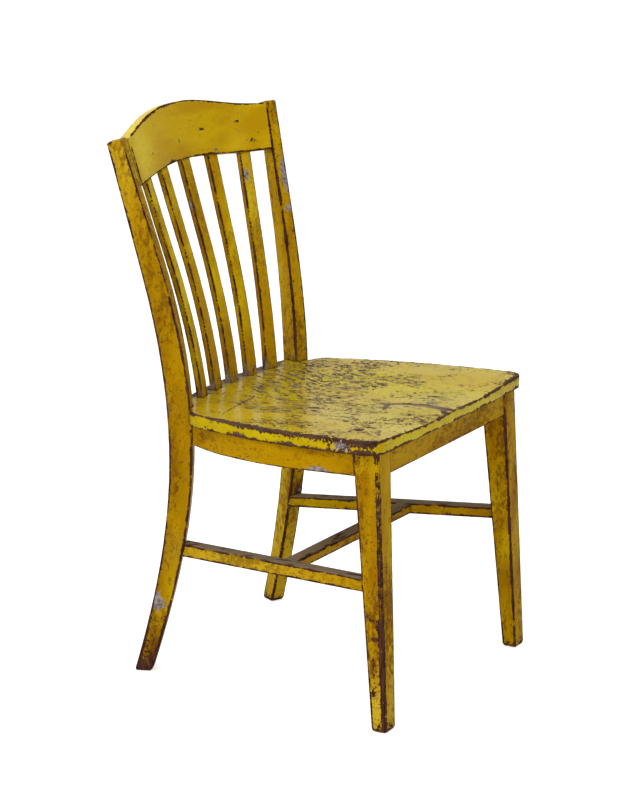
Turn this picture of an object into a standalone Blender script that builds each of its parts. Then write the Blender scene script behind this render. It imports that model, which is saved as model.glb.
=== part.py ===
"""A painted wooden side chair, built in metres with +Z up and the sitter facing -Y.

A dished seat rests on two tapered front legs and is notched round two bent rear posts.
Five bent slats stand in the seat and run up into a curved, yoke-topped crest rail.
Aprons brace the legs under the seat, and three stretchers brace them lower down.
Every joint is a real one: tenons in mortises, slat ends housed whole, and a named clearance.
The part's left side is the sitter's left, at +X.
"""

import math

import bmesh
import bpy
from mathutils import Vector

# Clearance between wood that touches
CLEARANCE = 0.0003

# How far a trimming cutter reaches past a face, and a rail's blank or a tenon's root past a shoulder
TRIM_REACH = 0.06
ROOT_OVERLAP = 0.010

# Seat
SEAT_HEIGHT = 0.4455
SEAT_FRONT_Y = -0.2075
SEAT_FALL = 0.0505
SEAT_THICKNESS = 0.0215
SEAT_FRONT_BOW = 0.004
SEAT_CORNER_RADIUS = 0.024
SEAT_REAR_MARGIN = 0.015
SEAT_EDGE_ROUND = 0.0025
SEAT_FRONT_HALF_WIDTH = 0.2445
SEAT_MIDDLE_NARROWING = 0.0067
SEAT_REAR_OVERHANG = 0.0303
SEAT_MIDDLE_Y = -0.02
SEAT_REAR_Y = 0.128
SEAT_FRONT_SPLAY = 0.02
SEAT_MIDDLE_SPLAY = -0.11
SEAT_REAR_SPLAY = -0.27
SEAT_END_SPLAY = -1.9
SEAT_END_ACROSS = -0.5
SEAT_END_ALONG = 0.45
SEAT_COLUMNS = 36
SEAT_CORNER_STEPS = 6
SEAT_SIDE_STEPS = 18
SEAT_REAR_STEPS = 4
SEAT_END_STEPS = 3

# Dish in the top of the seat
DISH_DEPTH = 0.0085
DISH_FRONT_DEPTH = 0.0065
DISH_HALF_WIDTH = 0.215
THIGH_HOLLOW_X = 0.105
THIGH_HOLLOW_POWER = 1.3
RIDGE_SHARE = 0.5
RIDGE_FRONT_Y = -0.19
RIDGE_REAR_Y = -0.07
DISH_REAR_START_Y = 0.045
DISH_REAR_END_Y = 0.155

# Rear posts
POST_X = 0.1772
POST_Y = 0.1721
POST_TOP_DROP = 0.002
POST_SIDE_TURN = math.radians(25.6)
POST_FACE_TURN_LOW = math.radians(22.5)
POST_FACE_TURN_HIGH = math.radians(15.0)
POST_WIDTH = 0.0258
POST_TOP_WIDTH = 0.0245
POST_FOOT_DEPTH = 0.0262
POST_SEAT_DEPTH = 0.0375
POST_TOP_DEPTH = 0.0226
POST_SEAT_DROP = 0.0055
POST_ARRIS_ROUND = 0.0022
POST_FOOT_SET_BACK = 0.0488
POST_FOOT_SLOPE = -0.275
POST_KNEE_Z = 0.345
POST_KNEE_SET_BACK = -0.0057
POST_KNEE_SLOPE = 0.01
POST_BEND_Z = 0.65
POST_BEND_SET_BACK = 0.0438
POST_RAKE = 0.297
POST_FOOT_FLARE = 0.025
POST_TOP_TAPER = -0.03
POST_STEPS = 32

# Back slats
SLAT_COUNT = 5
SLAT_PITCH_SEAT = 0.051
SLAT_PITCH_CREST = 0.0708
SLAT_ROW_Y = 0.1795
SLAT_ROW_RADIUS = 0.62
SLAT_WIDTH_SEAT = 0.027
SLAT_WIDTH_CREST = 0.0245
SLAT_WAIST = 0.0015
SLAT_BOW = 0.003
SLAT_THICKNESS = 0.0105
SLAT_CREST_SET_BACK = 0.0022
SLAT_STEPS = 22
SLAT_ARRIS_ROUND = 0.0016
SLAT_SEAT_HOUSING = 0.013
SLAT_CREST_HOUSING = 0.014

# Crest rail
CREST_LOWER_Z = 0.7625
CREST_ARCH_RISE = 0.008
CREST_ARCH_HALF_WIDTH = 0.17
CREST_FRONT_Y = 0.2715
CREST_RADIUS = 0.48
CREST_THICKNESS = 0.019
CREST_STEPS = 40
CREST_END_HEIGHT = 0.073
CREST_YOKE_RISE = 0.0215
CREST_YOKE_START_X = 0.192
CREST_YOKE_END_X = 0.015
CREST_EDGE_ROUND = 0.003
CREST_TENON_LENGTH = 0.011
CREST_TENON_THICKNESS = 0.007
CREST_TENON_SET_BACK = 0.004
CREST_TENON_HEIGHT = 0.044
CREST_END_ALONG = -0.6

# Front legs
LEG_INSET = 0.016
LEG_SPLAY = 0.0086
LEG_TOP_Y = -0.200
LEG_FOOT_Y = -0.2319
LEG_TOP_WIDTH = 0.0409
LEG_FOOT_WIDTH = 0.0331
LEG_TOP_DEPTH = 0.0425
LEG_FOOT_DEPTH = 0.0241
LEG_OUTER_ROUND = 0.0045
LEG_ARRIS_ROUND = 0.0022
LEG_STEPS = 10

# Worn feet
FOOT_WEAR_HEIGHT = 0.004
FOOT_WEAR = 0.002

# Aprons
APRON_THICKNESS = 0.016
APRON_HEIGHT = 0.0372
APRON_INSET = 0.0015
APRON_ROUND = 0.0012
SIDE_APRON_MIDDLE_Y = -0.03
SIDE_APRON_MIDDLE_INSET = 0.0078
SIDE_APRON_REAR_Y = 0.08
SIDE_APRON_REAR_OVERHANG = 0.0313
SIDE_APRON_FRONT_SLOPE = 0.03
SIDE_APRON_MIDDLE_SLOPE = -0.06
SIDE_APRON_REAR_SLOPE = -0.30
SIDE_APRON_END_SLOPE = -0.52
SIDE_APRON_STEPS = 20
REAR_APRON_Y = 0.176
APRON_TENON_THICKNESS = 0.008
APRON_TENON_HEIGHT = 0.024
APRON_TENON_LENGTH = 0.017
APRON_REAR_TENON_LENGTH = 0.013
APRON_TENON_OFFSET = 0.002
APRON_REAR_LAND = 0.03
APRON_LANDING_STEPS = 200
TENON_ROOT = 0.0015

# Stretchers
STRETCHER_WIDTH = 0.0235
STRETCHER_HEIGHT_LEFT = 0.0195
STRETCHER_HEIGHT_RIGHT = 0.022
CROSS_STRETCHER_HEIGHT = 0.017
STRETCHER_ROUND = 0.0028
STRETCHER_REAR_Z_LEFT = 0.1888
STRETCHER_REAR_Z_RIGHT = 0.1995
STRETCHER_FRONT_Z_LEFT = 0.2183
STRETCHER_FRONT_Z_RIGHT = 0.221
STRETCHER_FRONT_INSET = 0.003
STRETCHER_REAR_INSET = 0.0015
CROSS_STRETCHER_Y = -0.0316
STRETCHER_TENON_THICKNESS = 0.008
STRETCHER_TENON_HEIGHT = 0.011
STRETCHER_TENON_LENGTH = 0.015
STRETCHER_REAR_TENON_LENGTH = 0.010
CROSS_TENON_LENGTH = 0.011

# Corner blocks and their screws
BLOCK_HEIGHT = 0.026
BLOCK_FRONT_REACH = 0.0525
BLOCK_REAR_ACROSS = 0.045
BLOCK_REAR_ALONG = 0.06
BLOCK_APRON_SHARE = 0.6
BLOCK_LEG_LAP = 0.004
BLOCK_POST_LAP = 0.006
BLOCK_ARRIS_LAP = 0.010
SCREW_RADIUS = 0.0019
SCREW_HEAD_RADIUS = 0.0042
SCREW_HEAD_HEIGHT = 0.0024
SCREW_CROWN_RADIUS = 0.0021
SCREW_SHOULDER_RADIUS = 0.0038
SCREW_SHOULDER_HEIGHT = 0.0014
SCREW_BITE = 0.010
SCREW_POINT_LENGTH = 0.004
SCREW_POINT_RADIUS = 0.0005
SCREW_SIDES = 12
SCREW_FRONT_INSET = 0.0565
SCREW_FRONT_Y = -0.168
SCREW_REAR_INSET = 0.0272
SCREW_REAR_Y = 0.1455

# Repair bolt through the left rear post
BOLT_Z = 0.2070
BOLT_ACROSS = 0.35
BOLT_RADIUS = 0.004
BOLT_CHAMFER = 0.0012
BOLT_LENGTH = 0.026
BOLT_PROUD = 0.003
WASHER_RADIUS = 0.0068
WASHER_THICKNESS = 0.0016
WASHER_CHAMFER = 0.0006

# Sizes that follow from the ones above
SEAT_MIDDLE_HALF_WIDTH = SEAT_FRONT_HALF_WIDTH - SEAT_MIDDLE_NARROWING
SEAT_REAR_HALF_WIDTH = POST_X + SEAT_REAR_OVERHANG
LEG_TOP_X = SEAT_FRONT_HALF_WIDTH - LEG_INSET
LEG_FOOT_X = LEG_TOP_X + LEG_SPLAY
SIDE_APRON_MIDDLE_X = SEAT_MIDDLE_HALF_WIDTH - SIDE_APRON_MIDDLE_INSET
SIDE_APRON_REAR_X = POST_X + SIDE_APRON_REAR_OVERHANG
SCREW_FRONT_X = LEG_TOP_X - SCREW_FRONT_INSET
SCREW_REAR_X = POST_X - SCREW_REAR_INSET
CREST_END_TOP_Z = CREST_LOWER_Z + CREST_END_HEIGHT
POST_TOP_Z = CREST_END_TOP_Z - POST_TOP_DROP
POST_SEAT_Z = SEAT_HEIGHT - POST_SEAT_DROP

# Faces that meet at less than this are shaded as one surface
SHARP_ANGLE = math.radians(35)

LEFT = 1
RIGHT = -1
SIDE_NAMES = {LEFT: "left", RIGHT: "right"}


def clear_scene():
    for thing in list(bpy.data.objects):
        bpy.data.objects.remove(thing, do_unlink=True)


def make_material(name, colour, roughness, metallic=0.0):
    material = bpy.data.materials.new(name)
    material.use_nodes = True
    shader = material.node_tree.nodes["Principled BSDF"]
    shader.inputs["Base Color"].default_value = (*colour, 1.0)
    shader.inputs["Roughness"].default_value = roughness
    shader.inputs["Metallic"].default_value = metallic
    material.diffuse_color = (*colour, 1.0)
    return material


def painted_wood(name):
    return make_material(name + "_paint", (0.72, 0.50, 0.02), 0.35)


def bare_wood(name):
    return make_material(name + "_wood", (0.30, 0.17, 0.09), 0.75)


def rusted_steel(name):
    return make_material(name + "_steel", (0.20, 0.10, 0.06), 0.7, 0.6)


# Curves and outlines


def smooth_step(value, start, end):
    share = min(max((value - start) / (end - start), 0.0), 1.0)
    return share * share * (3.0 - 2.0 * share)


def blend(first, second, share):
    return first + (second - first) * share


def hermite(knots, place):
    """Height of a smooth curve through (place, value, slope) knots, straight beyond its ends."""
    if place <= knots[0][0]:
        return knots[0][1] + knots[0][2] * (place - knots[0][0])
    if place >= knots[-1][0]:
        return knots[-1][1] + knots[-1][2] * (place - knots[-1][0])
    for (start, value, slope), (end, next_value, next_slope) in zip(knots, knots[1:]):
        if place <= end:
            span = end - start
            share = (place - start) / span
            rise = share * share * (3.0 - 2.0 * share)
            lead = share * (1.0 - share) * (1.0 - share) * span * slope
            tail = share * share * (share - 1.0) * span * next_slope
            return blend(value, next_value, rise) + lead + tail
    return knots[-1][1]


def rounded_rectangle(width, depth, radii, steps=2):
    """Outline round a rectangle, with one radius a corner, anticlockwise from (+, -)."""
    corners = ((1, -1, -90), (1, 1, 0), (-1, 1, 90), (-1, -1, 180))
    points = []
    for (across, along, start), radius in zip(corners, radii):
        centre_x = across * (width / 2 - radius)
        centre_y = along * (depth / 2 - radius)
        for step in range(steps + 1):
            angle = math.radians(start + 90.0 * step / steps)
            points.append((centre_x + radius * math.cos(angle), centre_y + radius * math.sin(angle)))
    return points


# Building closed solids


def finish_solid(name, mesh_builder, material):
    bmesh.ops.recalc_face_normals(mesh_builder, faces=mesh_builder.faces)
    mesh = bpy.data.meshes.new(name)
    mesh_builder.to_mesh(mesh)
    mesh_builder.free()
    solid = bpy.data.objects.new(name, mesh)
    bpy.context.scene.collection.objects.link(solid)
    if material is not None:
        mesh.materials.append(material)
    mesh.shade_smooth()
    mesh.set_sharp_from_angle(angle=SHARP_ANGLE)
    return solid


def loft(name, rings, material=None):
    """Skin equal rings of points into one closed solid."""
    builder = bmesh.new()
    loops = [[builder.verts.new(point) for point in ring] for ring in rings]
    count = len(loops[0])
    for lower, upper in zip(loops, loops[1:]):
        for index in range(count):
            following = (index + 1) % count
            builder.faces.new((lower[index], lower[following], upper[following], upper[index]))
    builder.faces.new(loops[0][::-1])
    builder.faces.new(loops[-1])
    return finish_solid(name, builder, material)


def block_between(name, start, end, side_axis, thickness, height, material=None):
    """A straight bar from start to end, thickness along side_axis and height along what is left."""
    along = (end - start).normalized()
    across = (side_axis - along * side_axis.dot(along)).normalized()
    upward = along.cross(across)
    rings = []
    for centre in (start, end):
        rings.append([centre + across * (x * thickness / 2) + upward * (y * height / 2)
                      for x, y in ((-1, -1), (1, -1), (1, 1), (-1, 1))])
    return loft(name, rings, material)


def turned(name, profile, centre, axis, material=None, sides=16):
    """A solid turned about axis from (distance along it, radius) points, closed at both ends."""
    axis = axis.normalized()
    helper = Vector((1, 0, 0)) if abs(axis.x) < abs(axis.z) + abs(axis.y) else Vector((0, 1, 0))
    first = axis.cross(helper).normalized()
    second = axis.cross(first)
    rings = []
    for distance, radius in profile:
        ring = []
        for index in range(sides):
            angle = 2.0 * math.pi * index / sides
            spoke = first * math.cos(angle) + second * math.sin(angle)
            ring.append(centre + axis * distance + spoke * radius)
        rings.append(ring)
    return loft(name, rings, material)


def combine(solid, tool, operation):
    """Join or cut a solid with another, and take the tool away."""
    modifier = solid.modifiers.new("joint", "BOOLEAN")
    modifier.operation = operation
    modifier.solver = "EXACT"
    modifier.object = tool
    depsgraph = bpy.context.evaluated_depsgraph_get()
    shaped = bpy.data.meshes.new_from_object(solid.evaluated_get(depsgraph))
    solid.modifiers.clear()
    worn_out = solid.data
    solid.data = shaped
    bpy.data.meshes.remove(worn_out)
    shaped.set_sharp_from_angle(angle=SHARP_ANGLE)
    bpy.data.objects.remove(tool, do_unlink=True)


def cut(solid, tool):
    combine(solid, tool, "DIFFERENCE")


def join(solid, tool):
    combine(solid, tool, "UNION")


# Seat


def seat_plane(y):
    return SEAT_HEIGHT - SEAT_FALL * (y - SEAT_FRONT_Y)


def seat_under(y):
    return seat_plane(y) - SEAT_THICKNESS


def dish_depth(x, y):
    """How far the seat's top is scooped out: two thigh hollows in front, one wide hollow behind."""
    side = min(abs(x) / THIGH_HOLLOW_X, 2.0)
    wide = math.cos(0.5 * math.pi * min(abs(x) / DISH_HALF_WIDTH, 1.0)) ** 2
    hollows = math.sin(0.5 * math.pi * side) ** THIGH_HOLLOW_POWER
    front_shape = blend(hollows, wide, RIDGE_SHARE)
    reach = smooth_step(y, RIDGE_FRONT_Y, RIDGE_REAR_Y)
    depth = blend(DISH_FRONT_DEPTH, DISH_DEPTH, reach)
    depth *= 1.0 - smooth_step(y, DISH_REAR_START_Y, DISH_REAR_END_Y)
    return depth * blend(front_shape, wide, reach)


def seat_top(x, y):
    return seat_plane(y) - dish_depth(x, y)


def seat_side_points():
    """Half the seat's outline, from the rounded front corner to a point inside the rear post."""
    points = []
    for step in range(SEAT_CORNER_STEPS):
        angle = 0.5 * math.pi * step / SEAT_CORNER_STEPS
        points.append((SEAT_FRONT_HALF_WIDTH - SEAT_CORNER_RADIUS * (1.0 - math.sin(angle)),
                       SEAT_FRONT_Y + SEAT_CORNER_RADIUS * (1.0 - math.cos(angle))))
    arris = post_point(LEFT, 1.0, -1.0, POST_SEAT_Z)
    start = SEAT_FRONT_Y + SEAT_CORNER_RADIUS
    knots = ((start, SEAT_FRONT_HALF_WIDTH, SEAT_FRONT_SPLAY),
             (SEAT_MIDDLE_Y, SEAT_MIDDLE_HALF_WIDTH, SEAT_MIDDLE_SPLAY),
             (SEAT_REAR_Y, SEAT_REAR_HALF_WIDTH, SEAT_REAR_SPLAY),
             (arris.y, arris.x, SEAT_END_SPLAY))
    for step in range(SEAT_SIDE_STEPS):
        y = blend(start, SEAT_REAR_Y, step / SEAT_SIDE_STEPS)
        points.append((hermite(knots, y), y))
    for step in range(SEAT_REAR_STEPS + 1):
        y = blend(SEAT_REAR_Y, arris.y, step / SEAT_REAR_STEPS)
        points.append((hermite(knots, y), y))
    inside = post_point(LEFT, SEAT_END_ACROSS, SEAT_END_ALONG, POST_SEAT_Z)
    for step in range(1, SEAT_END_STEPS + 1):
        share = step / SEAT_END_STEPS
        points.append((blend(arris.x, inside.x, share), blend(arris.y, inside.y, share)))
    return points


def seat_rear_y(x):
    row = SLAT_ROW_Y + SLAT_THICKNESS + SEAT_REAR_MARGIN
    return row - SLAT_ROW_RADIUS + math.sqrt(SLAT_ROW_RADIUS ** 2 - x * x)


def build_seat():
    side = seat_side_points()
    last_x, last_y = side[-1]
    rear_bow = seat_rear_y(0.0) - last_y
    builder = bmesh.new()
    rows = []
    for half_width, y in side:
        share = (y - SEAT_FRONT_Y) / (last_y - SEAT_FRONT_Y)
        bow = blend(-SEAT_FRONT_BOW, rear_bow, share)
        row = []
        for column in range(SEAT_COLUMNS + 1):
            across = 2.0 * column / SEAT_COLUMNS - 1.0
            x = half_width * across
            bowed_y = y + bow * (1.0 - across * across)
            row.append(builder.verts.new((x, bowed_y, seat_top(x, bowed_y))))
        rows.append(row)
    for near, far in zip(rows, rows[1:]):
        for column in range(SEAT_COLUMNS):
            builder.faces.new((near[column], near[column + 1], far[column + 1], far[column]))
    rim = [row[-1] for row in rows] + rows[-1][-2::-1]
    rim += [row[0] for row in rows[-2::-1]] + rows[0][1:-1]
    under = [builder.verts.new((v.co.x, v.co.y, seat_under(v.co.y))) for v in rim]
    walls = []
    for index in range(len(rim)):
        following = (index + 1) % len(rim)
        walls.append(builder.faces.new((rim[index], under[index], under[following], rim[following])))
    builder.faces.new(under)
    bmesh.ops.recalc_face_normals(builder, faces=builder.faces)
    edges = [edge for wall in walls for edge in wall.edges
             if not all(face in walls for face in edge.link_faces)]
    bmesh.ops.bevel(builder, geom=edges, offset=SEAT_EDGE_ROUND, segments=2, profile=0.5,
                    affect="EDGES", clamp_overlap=True)
    seat = finish_solid("seat", builder, painted_wood("seat"))
    for hand in (LEFT, RIGHT):
        cut(seat, build_post(hand, CLEARANCE))
    for number in range(SLAT_COUNT):
        cut(seat, build_slat(number, CLEARANCE))
    for place in screw_places():
        cut(seat, screw_shape("pilot", place, CLEARANCE))
    return seat


# Rear posts


def post_set_back(z):
    knots = ((0.0, POST_FOOT_SET_BACK, POST_FOOT_SLOPE),
             (POST_KNEE_Z, POST_KNEE_SET_BACK, POST_KNEE_SLOPE),
             (POST_BEND_Z, POST_BEND_SET_BACK, POST_RAKE))
    return hermite(knots, z)


def post_slope(z):
    step = 0.002
    return (post_set_back(z + step) - post_set_back(z - step)) / (2.0 * step)


def post_depth(z):
    knots = ((0.0, POST_FOOT_DEPTH, POST_FOOT_FLARE),
             (POST_SEAT_Z, POST_SEAT_DEPTH, 0.0),
             (POST_TOP_Z, POST_TOP_DEPTH, POST_TOP_TAPER))
    return hermite(knots, z)


def post_width(z):
    return blend(POST_WIDTH, POST_TOP_WIDTH, smooth_step(z, POST_SEAT_Z, POST_TOP_Z))


def post_axes(hand, z):
    """Directions of a post's sides, towards the back, and of its front face, outwards.

    The front face is planed round to meet the slats and the crest rail above the seat.
    """
    turned_share = smooth_step(z, POST_SEAT_Z, POST_BEND_Z)
    turn = blend(POST_FACE_TURN_LOW, POST_FACE_TURN_HIGH, turned_share)
    backward = Vector((hand * math.sin(POST_SIDE_TURN), math.cos(POST_SIDE_TURN), 0.0))
    outward = Vector((hand * math.cos(turn), -math.sin(turn), 0.0))
    return backward, outward


def post_centre(hand, z):
    backward = post_axes(hand, z)[0]
    return Vector((hand * POST_X, POST_Y, z)) + backward * post_set_back(z)


def post_point(hand, across, along, z):
    """A point of the post's section: across 1 is its outer side, along 1 is its rear."""
    backward, outward = post_axes(hand, z)
    stretch = math.sqrt(1.0 + post_slope(z) ** 2)
    sideways = outward * (across * post_width(z) / 2)
    return post_centre(hand, z) + sideways + backward * (along * post_depth(z) * stretch / 2)


def build_post(hand, grow=0.0, material=None):
    levels = [0.0, FOOT_WEAR_HEIGHT]
    levels += [POST_TOP_Z * step / POST_STEPS for step in range(1, POST_STEPS)]
    levels += [POST_TOP_Z - FOOT_WEAR, POST_TOP_Z]
    rings = []
    for place, z in enumerate(levels):
        backward, outward = post_axes(hand, z)
        slope = post_slope(z)
        width = post_width(z) + 2 * grow
        depth = post_depth(z) * math.sqrt(1.0 + slope * slope) + 2 * grow
        worn = FOOT_WEAR if place in (0, len(levels) - 1) else 0.0
        outline = rounded_rectangle(width - 2 * worn, depth - 2 * worn, [POST_ARRIS_ROUND] * 4)
        centre = post_centre(hand, z)
        tilt = slope * smooth_step(z, 0.5 * POST_TOP_Z, POST_TOP_Z)
        ring = []
        for across, along in outline:
            point = centre + outward * across + backward * along
            point.z -= along * tilt
            ring.append(point)
        rings.append(ring if hand > 0 else ring[::-1])
    return loft("rear_post_" + SIDE_NAMES[hand], rings, material)


def beyond_post(hand, face):
    """A cutter for all that lies past a post's inner or front face, less the clearance."""
    rings = []
    for step in range(POST_STEPS + 1):
        z = blend(-TRIM_REACH, POST_TOP_Z + TRIM_REACH, step / POST_STEPS)
        backward, outward = post_axes(hand, z)
        centre = post_centre(hand, z)
        half_width = post_width(z) / 2 + CLEARANCE
        half_depth = post_depth(z) * math.sqrt(1.0 + post_slope(z) ** 2) / 2 + CLEARANCE
        low_across = -half_width if face == "inner" else -TRIM_REACH
        low_along = -half_depth if face == "front" else -TRIM_REACH
        corners = ((TRIM_REACH, low_along), (TRIM_REACH, TRIM_REACH),
                   (low_across, TRIM_REACH), (low_across, low_along))
        ring = [centre + outward * across + backward * along for across, along in corners]
        rings.append(ring if hand > 0 else ring[::-1])
    return loft("trim", rings)


# Back slats


def slat_ends(number):
    """Where the middle of a slat's front face meets the seat and the crest rail, and its turn."""
    place = number - (SLAT_COUNT - 1) / 2
    low_x = place * SLAT_PITCH_SEAT
    low_y = SLAT_ROW_Y - SLAT_ROW_RADIUS + math.sqrt(SLAT_ROW_RADIUS ** 2 - low_x * low_x)
    high_x = place * SLAT_PITCH_CREST
    high_z = crest_lower(high_x)
    low = Vector((low_x, low_y, seat_plane(low_y)))
    high = Vector((high_x, crest_front_y(high_x, high_z) + SLAT_CREST_SET_BACK, high_z))
    turn = 0.5 * (math.asin(low_x / SLAT_ROW_RADIUS) + math.asin(high_x / CREST_RADIUS))
    return low, high, turn


def build_slat(number, grow=0.0, material=None):
    low, high, turn = slat_ends(number)
    backward = Vector((math.sin(turn), math.cos(turn), 0.0))
    sideways = Vector((math.cos(turn), -math.sin(turn), 0.0))
    start = low.z - SLAT_SEAT_HOUSING - grow
    end = high.z + SLAT_CREST_HOUSING + grow
    low_set_back = post_set_back(low.z)
    rings = []
    for step in range(SLAT_STEPS + 1):
        z = blend(start, end, step / SLAT_STEPS)
        bend = (post_set_back(z) - low_set_back) / (post_set_back(high.z) - low_set_back)
        front = low.lerp(high, bend)
        share = (z - low.z) / (high.z - low.z)
        middle = math.sin(math.pi * min(max(share, 0.0), 1.0))
        width = blend(SLAT_WIDTH_SEAT, SLAT_WIDTH_CREST, share) - SLAT_WAIST * middle + 2 * grow
        centre = Vector((front.x, front.y, z)) + backward * (SLAT_THICKNESS / 2 + SLAT_BOW * middle)
        outline = rounded_rectangle(width, SLAT_THICKNESS + 2 * grow, [SLAT_ARRIS_ROUND] * 4)
        rings.append([centre + sideways * across + backward * along for across, along in outline])
    return loft("slat_%d" % (number + 1), rings, material)


# Crest rail


def crest_lower(x):
    share = min(abs(x) / CREST_ARCH_HALF_WIDTH, 1.0)
    return CREST_LOWER_Z + CREST_ARCH_RISE * math.cos(0.5 * math.pi * share) ** 2


def crest_upper(x):
    rise = 1.0 - smooth_step(abs(x), CREST_YOKE_END_X, CREST_YOKE_START_X)
    return CREST_END_TOP_Z + CREST_YOKE_RISE * rise


def crest_front_y(x, z):
    arc = CREST_FRONT_Y - CREST_RADIUS + math.sqrt(CREST_RADIUS ** 2 - x * x)
    return arc + POST_RAKE * (z - CREST_LOWER_Z)


def crest_frame(x, z):
    """Front point of the rail, with the directions up its face and into its thickness."""
    turn = math.asin(x / CREST_RADIUS)
    lean = math.atan(POST_RAKE)
    level = Vector((math.sin(turn), math.cos(turn), 0.0))
    inward = level * math.cos(lean) - Vector((0.0, 0.0, math.sin(lean)))
    upward = level * math.sin(lean) + Vector((0.0, 0.0, math.cos(lean)))
    return Vector((x, crest_front_y(x, z), z)), upward, inward


def crest_end_x():
    """Where the rail's front face meets the inner side of a post, halfway up."""
    z = 0.5 * (CREST_LOWER_Z + CREST_END_TOP_Z)
    return post_point(LEFT, -1.0, CREST_END_ALONG, z).x


def build_crest_rail():
    reach = crest_end_x() + POST_WIDTH
    rings = []
    for step in range(CREST_STEPS + 1):
        x = reach * (2.0 * step / CREST_STEPS - 1.0)
        middle_z = 0.5 * (crest_lower(x) + crest_upper(x))
        front, upward, inward = crest_frame(x, middle_z)
        face_height = (crest_upper(x) - crest_lower(x)) * math.sqrt(1.0 + POST_RAKE ** 2)
        outline = rounded_rectangle(CREST_THICKNESS, face_height, [CREST_EDGE_ROUND] * 4, 3)
        centre = front + inward * (CREST_THICKNESS / 2)
        rings.append([centre + inward * through + upward * up for through, up in outline])
    rail = loft("crest_rail", rings, painted_wood("crest_rail"))
    for number in range(SLAT_COUNT):
        cut(rail, build_slat(number, CLEARANCE))
    return rail


def crest_tenon(hand, grow=0.0):
    z = 0.5 * (CREST_LOWER_Z + CREST_END_TOP_Z)
    x = hand * crest_end_x()
    front, upward, inward = crest_frame(x, z)
    centre = front + inward * (CREST_THICKNESS / 2 + CREST_TENON_SET_BACK)
    along = inward.cross(upward).normalized() * hand
    end = centre + along * (CREST_TENON_LENGTH + grow)
    return block_between("tenon", centre - along * ROOT_OVERLAP, end, inward,
                         CREST_TENON_THICKNESS + 2 * grow, CREST_TENON_HEIGHT + 2 * grow)


# Front legs


def leg_share(z):
    """0 at the floor and 1 under the seat."""
    return z / seat_under(LEG_TOP_Y)


def leg_outer_x(z):
    return blend(LEG_FOOT_X, LEG_TOP_X, leg_share(z))


def leg_front_y(z):
    return blend(LEG_FOOT_Y, LEG_TOP_Y, leg_share(z))


def leg_width(z):
    return blend(LEG_FOOT_WIDTH, LEG_TOP_WIDTH, leg_share(z))


def leg_depth(z):
    return blend(LEG_FOOT_DEPTH, LEG_TOP_DEPTH, leg_share(z))


def build_leg(hand, grow=0.0, material=None):
    top = seat_under(LEG_TOP_Y)
    levels = [0.0, FOOT_WEAR_HEIGHT]
    levels += [top * step / LEG_STEPS for step in range(1, LEG_STEPS + 1)]
    rings = []
    for place, z in enumerate(levels):
        width = leg_width(z) + 2 * grow
        depth = leg_depth(z) + 2 * grow
        centre_x = leg_outer_x(z) - leg_width(z) / 2
        centre_y = leg_front_y(z) + leg_depth(z) / 2
        worn = FOOT_WEAR if place == 0 else 0.0
        radii = [LEG_OUTER_ROUND, LEG_ARRIS_ROUND, LEG_ARRIS_ROUND, LEG_ARRIS_ROUND]
        ring = []
        for across, along in rounded_rectangle(width - 2 * worn, depth - 2 * worn, radii):
            y = centre_y + along
            height = seat_under(y) - CLEARANCE + grow if place == len(levels) - 1 else z
            ring.append(Vector((hand * (centre_x + across), y, height)))
        rings.append(ring if hand > 0 else ring[::-1])
    return loft("front_leg_" + SIDE_NAMES[hand], rings, material)


def beyond_leg(hand, face):
    """A cutter for all that lies past a leg's inner or rear face, less the clearance."""
    rings = []
    for z in (-TRIM_REACH, SEAT_HEIGHT + TRIM_REACH):
        outer = leg_outer_x(z) + TRIM_REACH
        front = leg_front_y(z) - TRIM_REACH
        inner = outer - 2 * TRIM_REACH
        rear = front + 2 * TRIM_REACH
        if face == "inner":
            inner = leg_outer_x(z) - leg_width(z) - CLEARANCE
        else:
            rear = leg_front_y(z) + leg_depth(z) + CLEARANCE
        ring = [Vector((hand * x, y, z))
                for x, y in ((outer, front), (outer, rear), (inner, rear), (inner, front))]
        rings.append(ring if hand > 0 else ring[::-1])
    return loft("trim", rings)


# Aprons


def apron_top(y):
    return seat_under(y) - CLEARANCE


def apron_middle_z(y):
    return apron_top(y) - APRON_HEIGHT / 2


def side_apron_face(y):
    """How far out the side apron's outer face lies: flush by the leg, bowed, then in to the post."""
    leg_z = apron_middle_z(LEG_TOP_Y)
    leg_y = leg_front_y(leg_z) + leg_depth(leg_z)
    arris = post_point(LEFT, 1.0, -1.0, apron_middle_z(POST_Y))
    knots = ((leg_y, leg_outer_x(leg_z) - APRON_INSET, SIDE_APRON_FRONT_SLOPE),
             (SIDE_APRON_MIDDLE_Y, SIDE_APRON_MIDDLE_X, SIDE_APRON_MIDDLE_SLOPE),
             (SIDE_APRON_REAR_Y, SIDE_APRON_REAR_X, SIDE_APRON_REAR_SLOPE),
             (arris.y, arris.x - APRON_INSET, SIDE_APRON_END_SLOPE))
    return hermite(knots, y)


def side_apron_point(hand, y, inwards):
    """A point in plan, inwards from the apron's outer face at right angles to it."""
    step = 0.001
    slope = (side_apron_face(y + step) - side_apron_face(y - step)) / (2.0 * step)
    length = math.sqrt(1.0 + slope * slope)
    return hand * (side_apron_face(y) - inwards / length), y + inwards * slope / length


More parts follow.
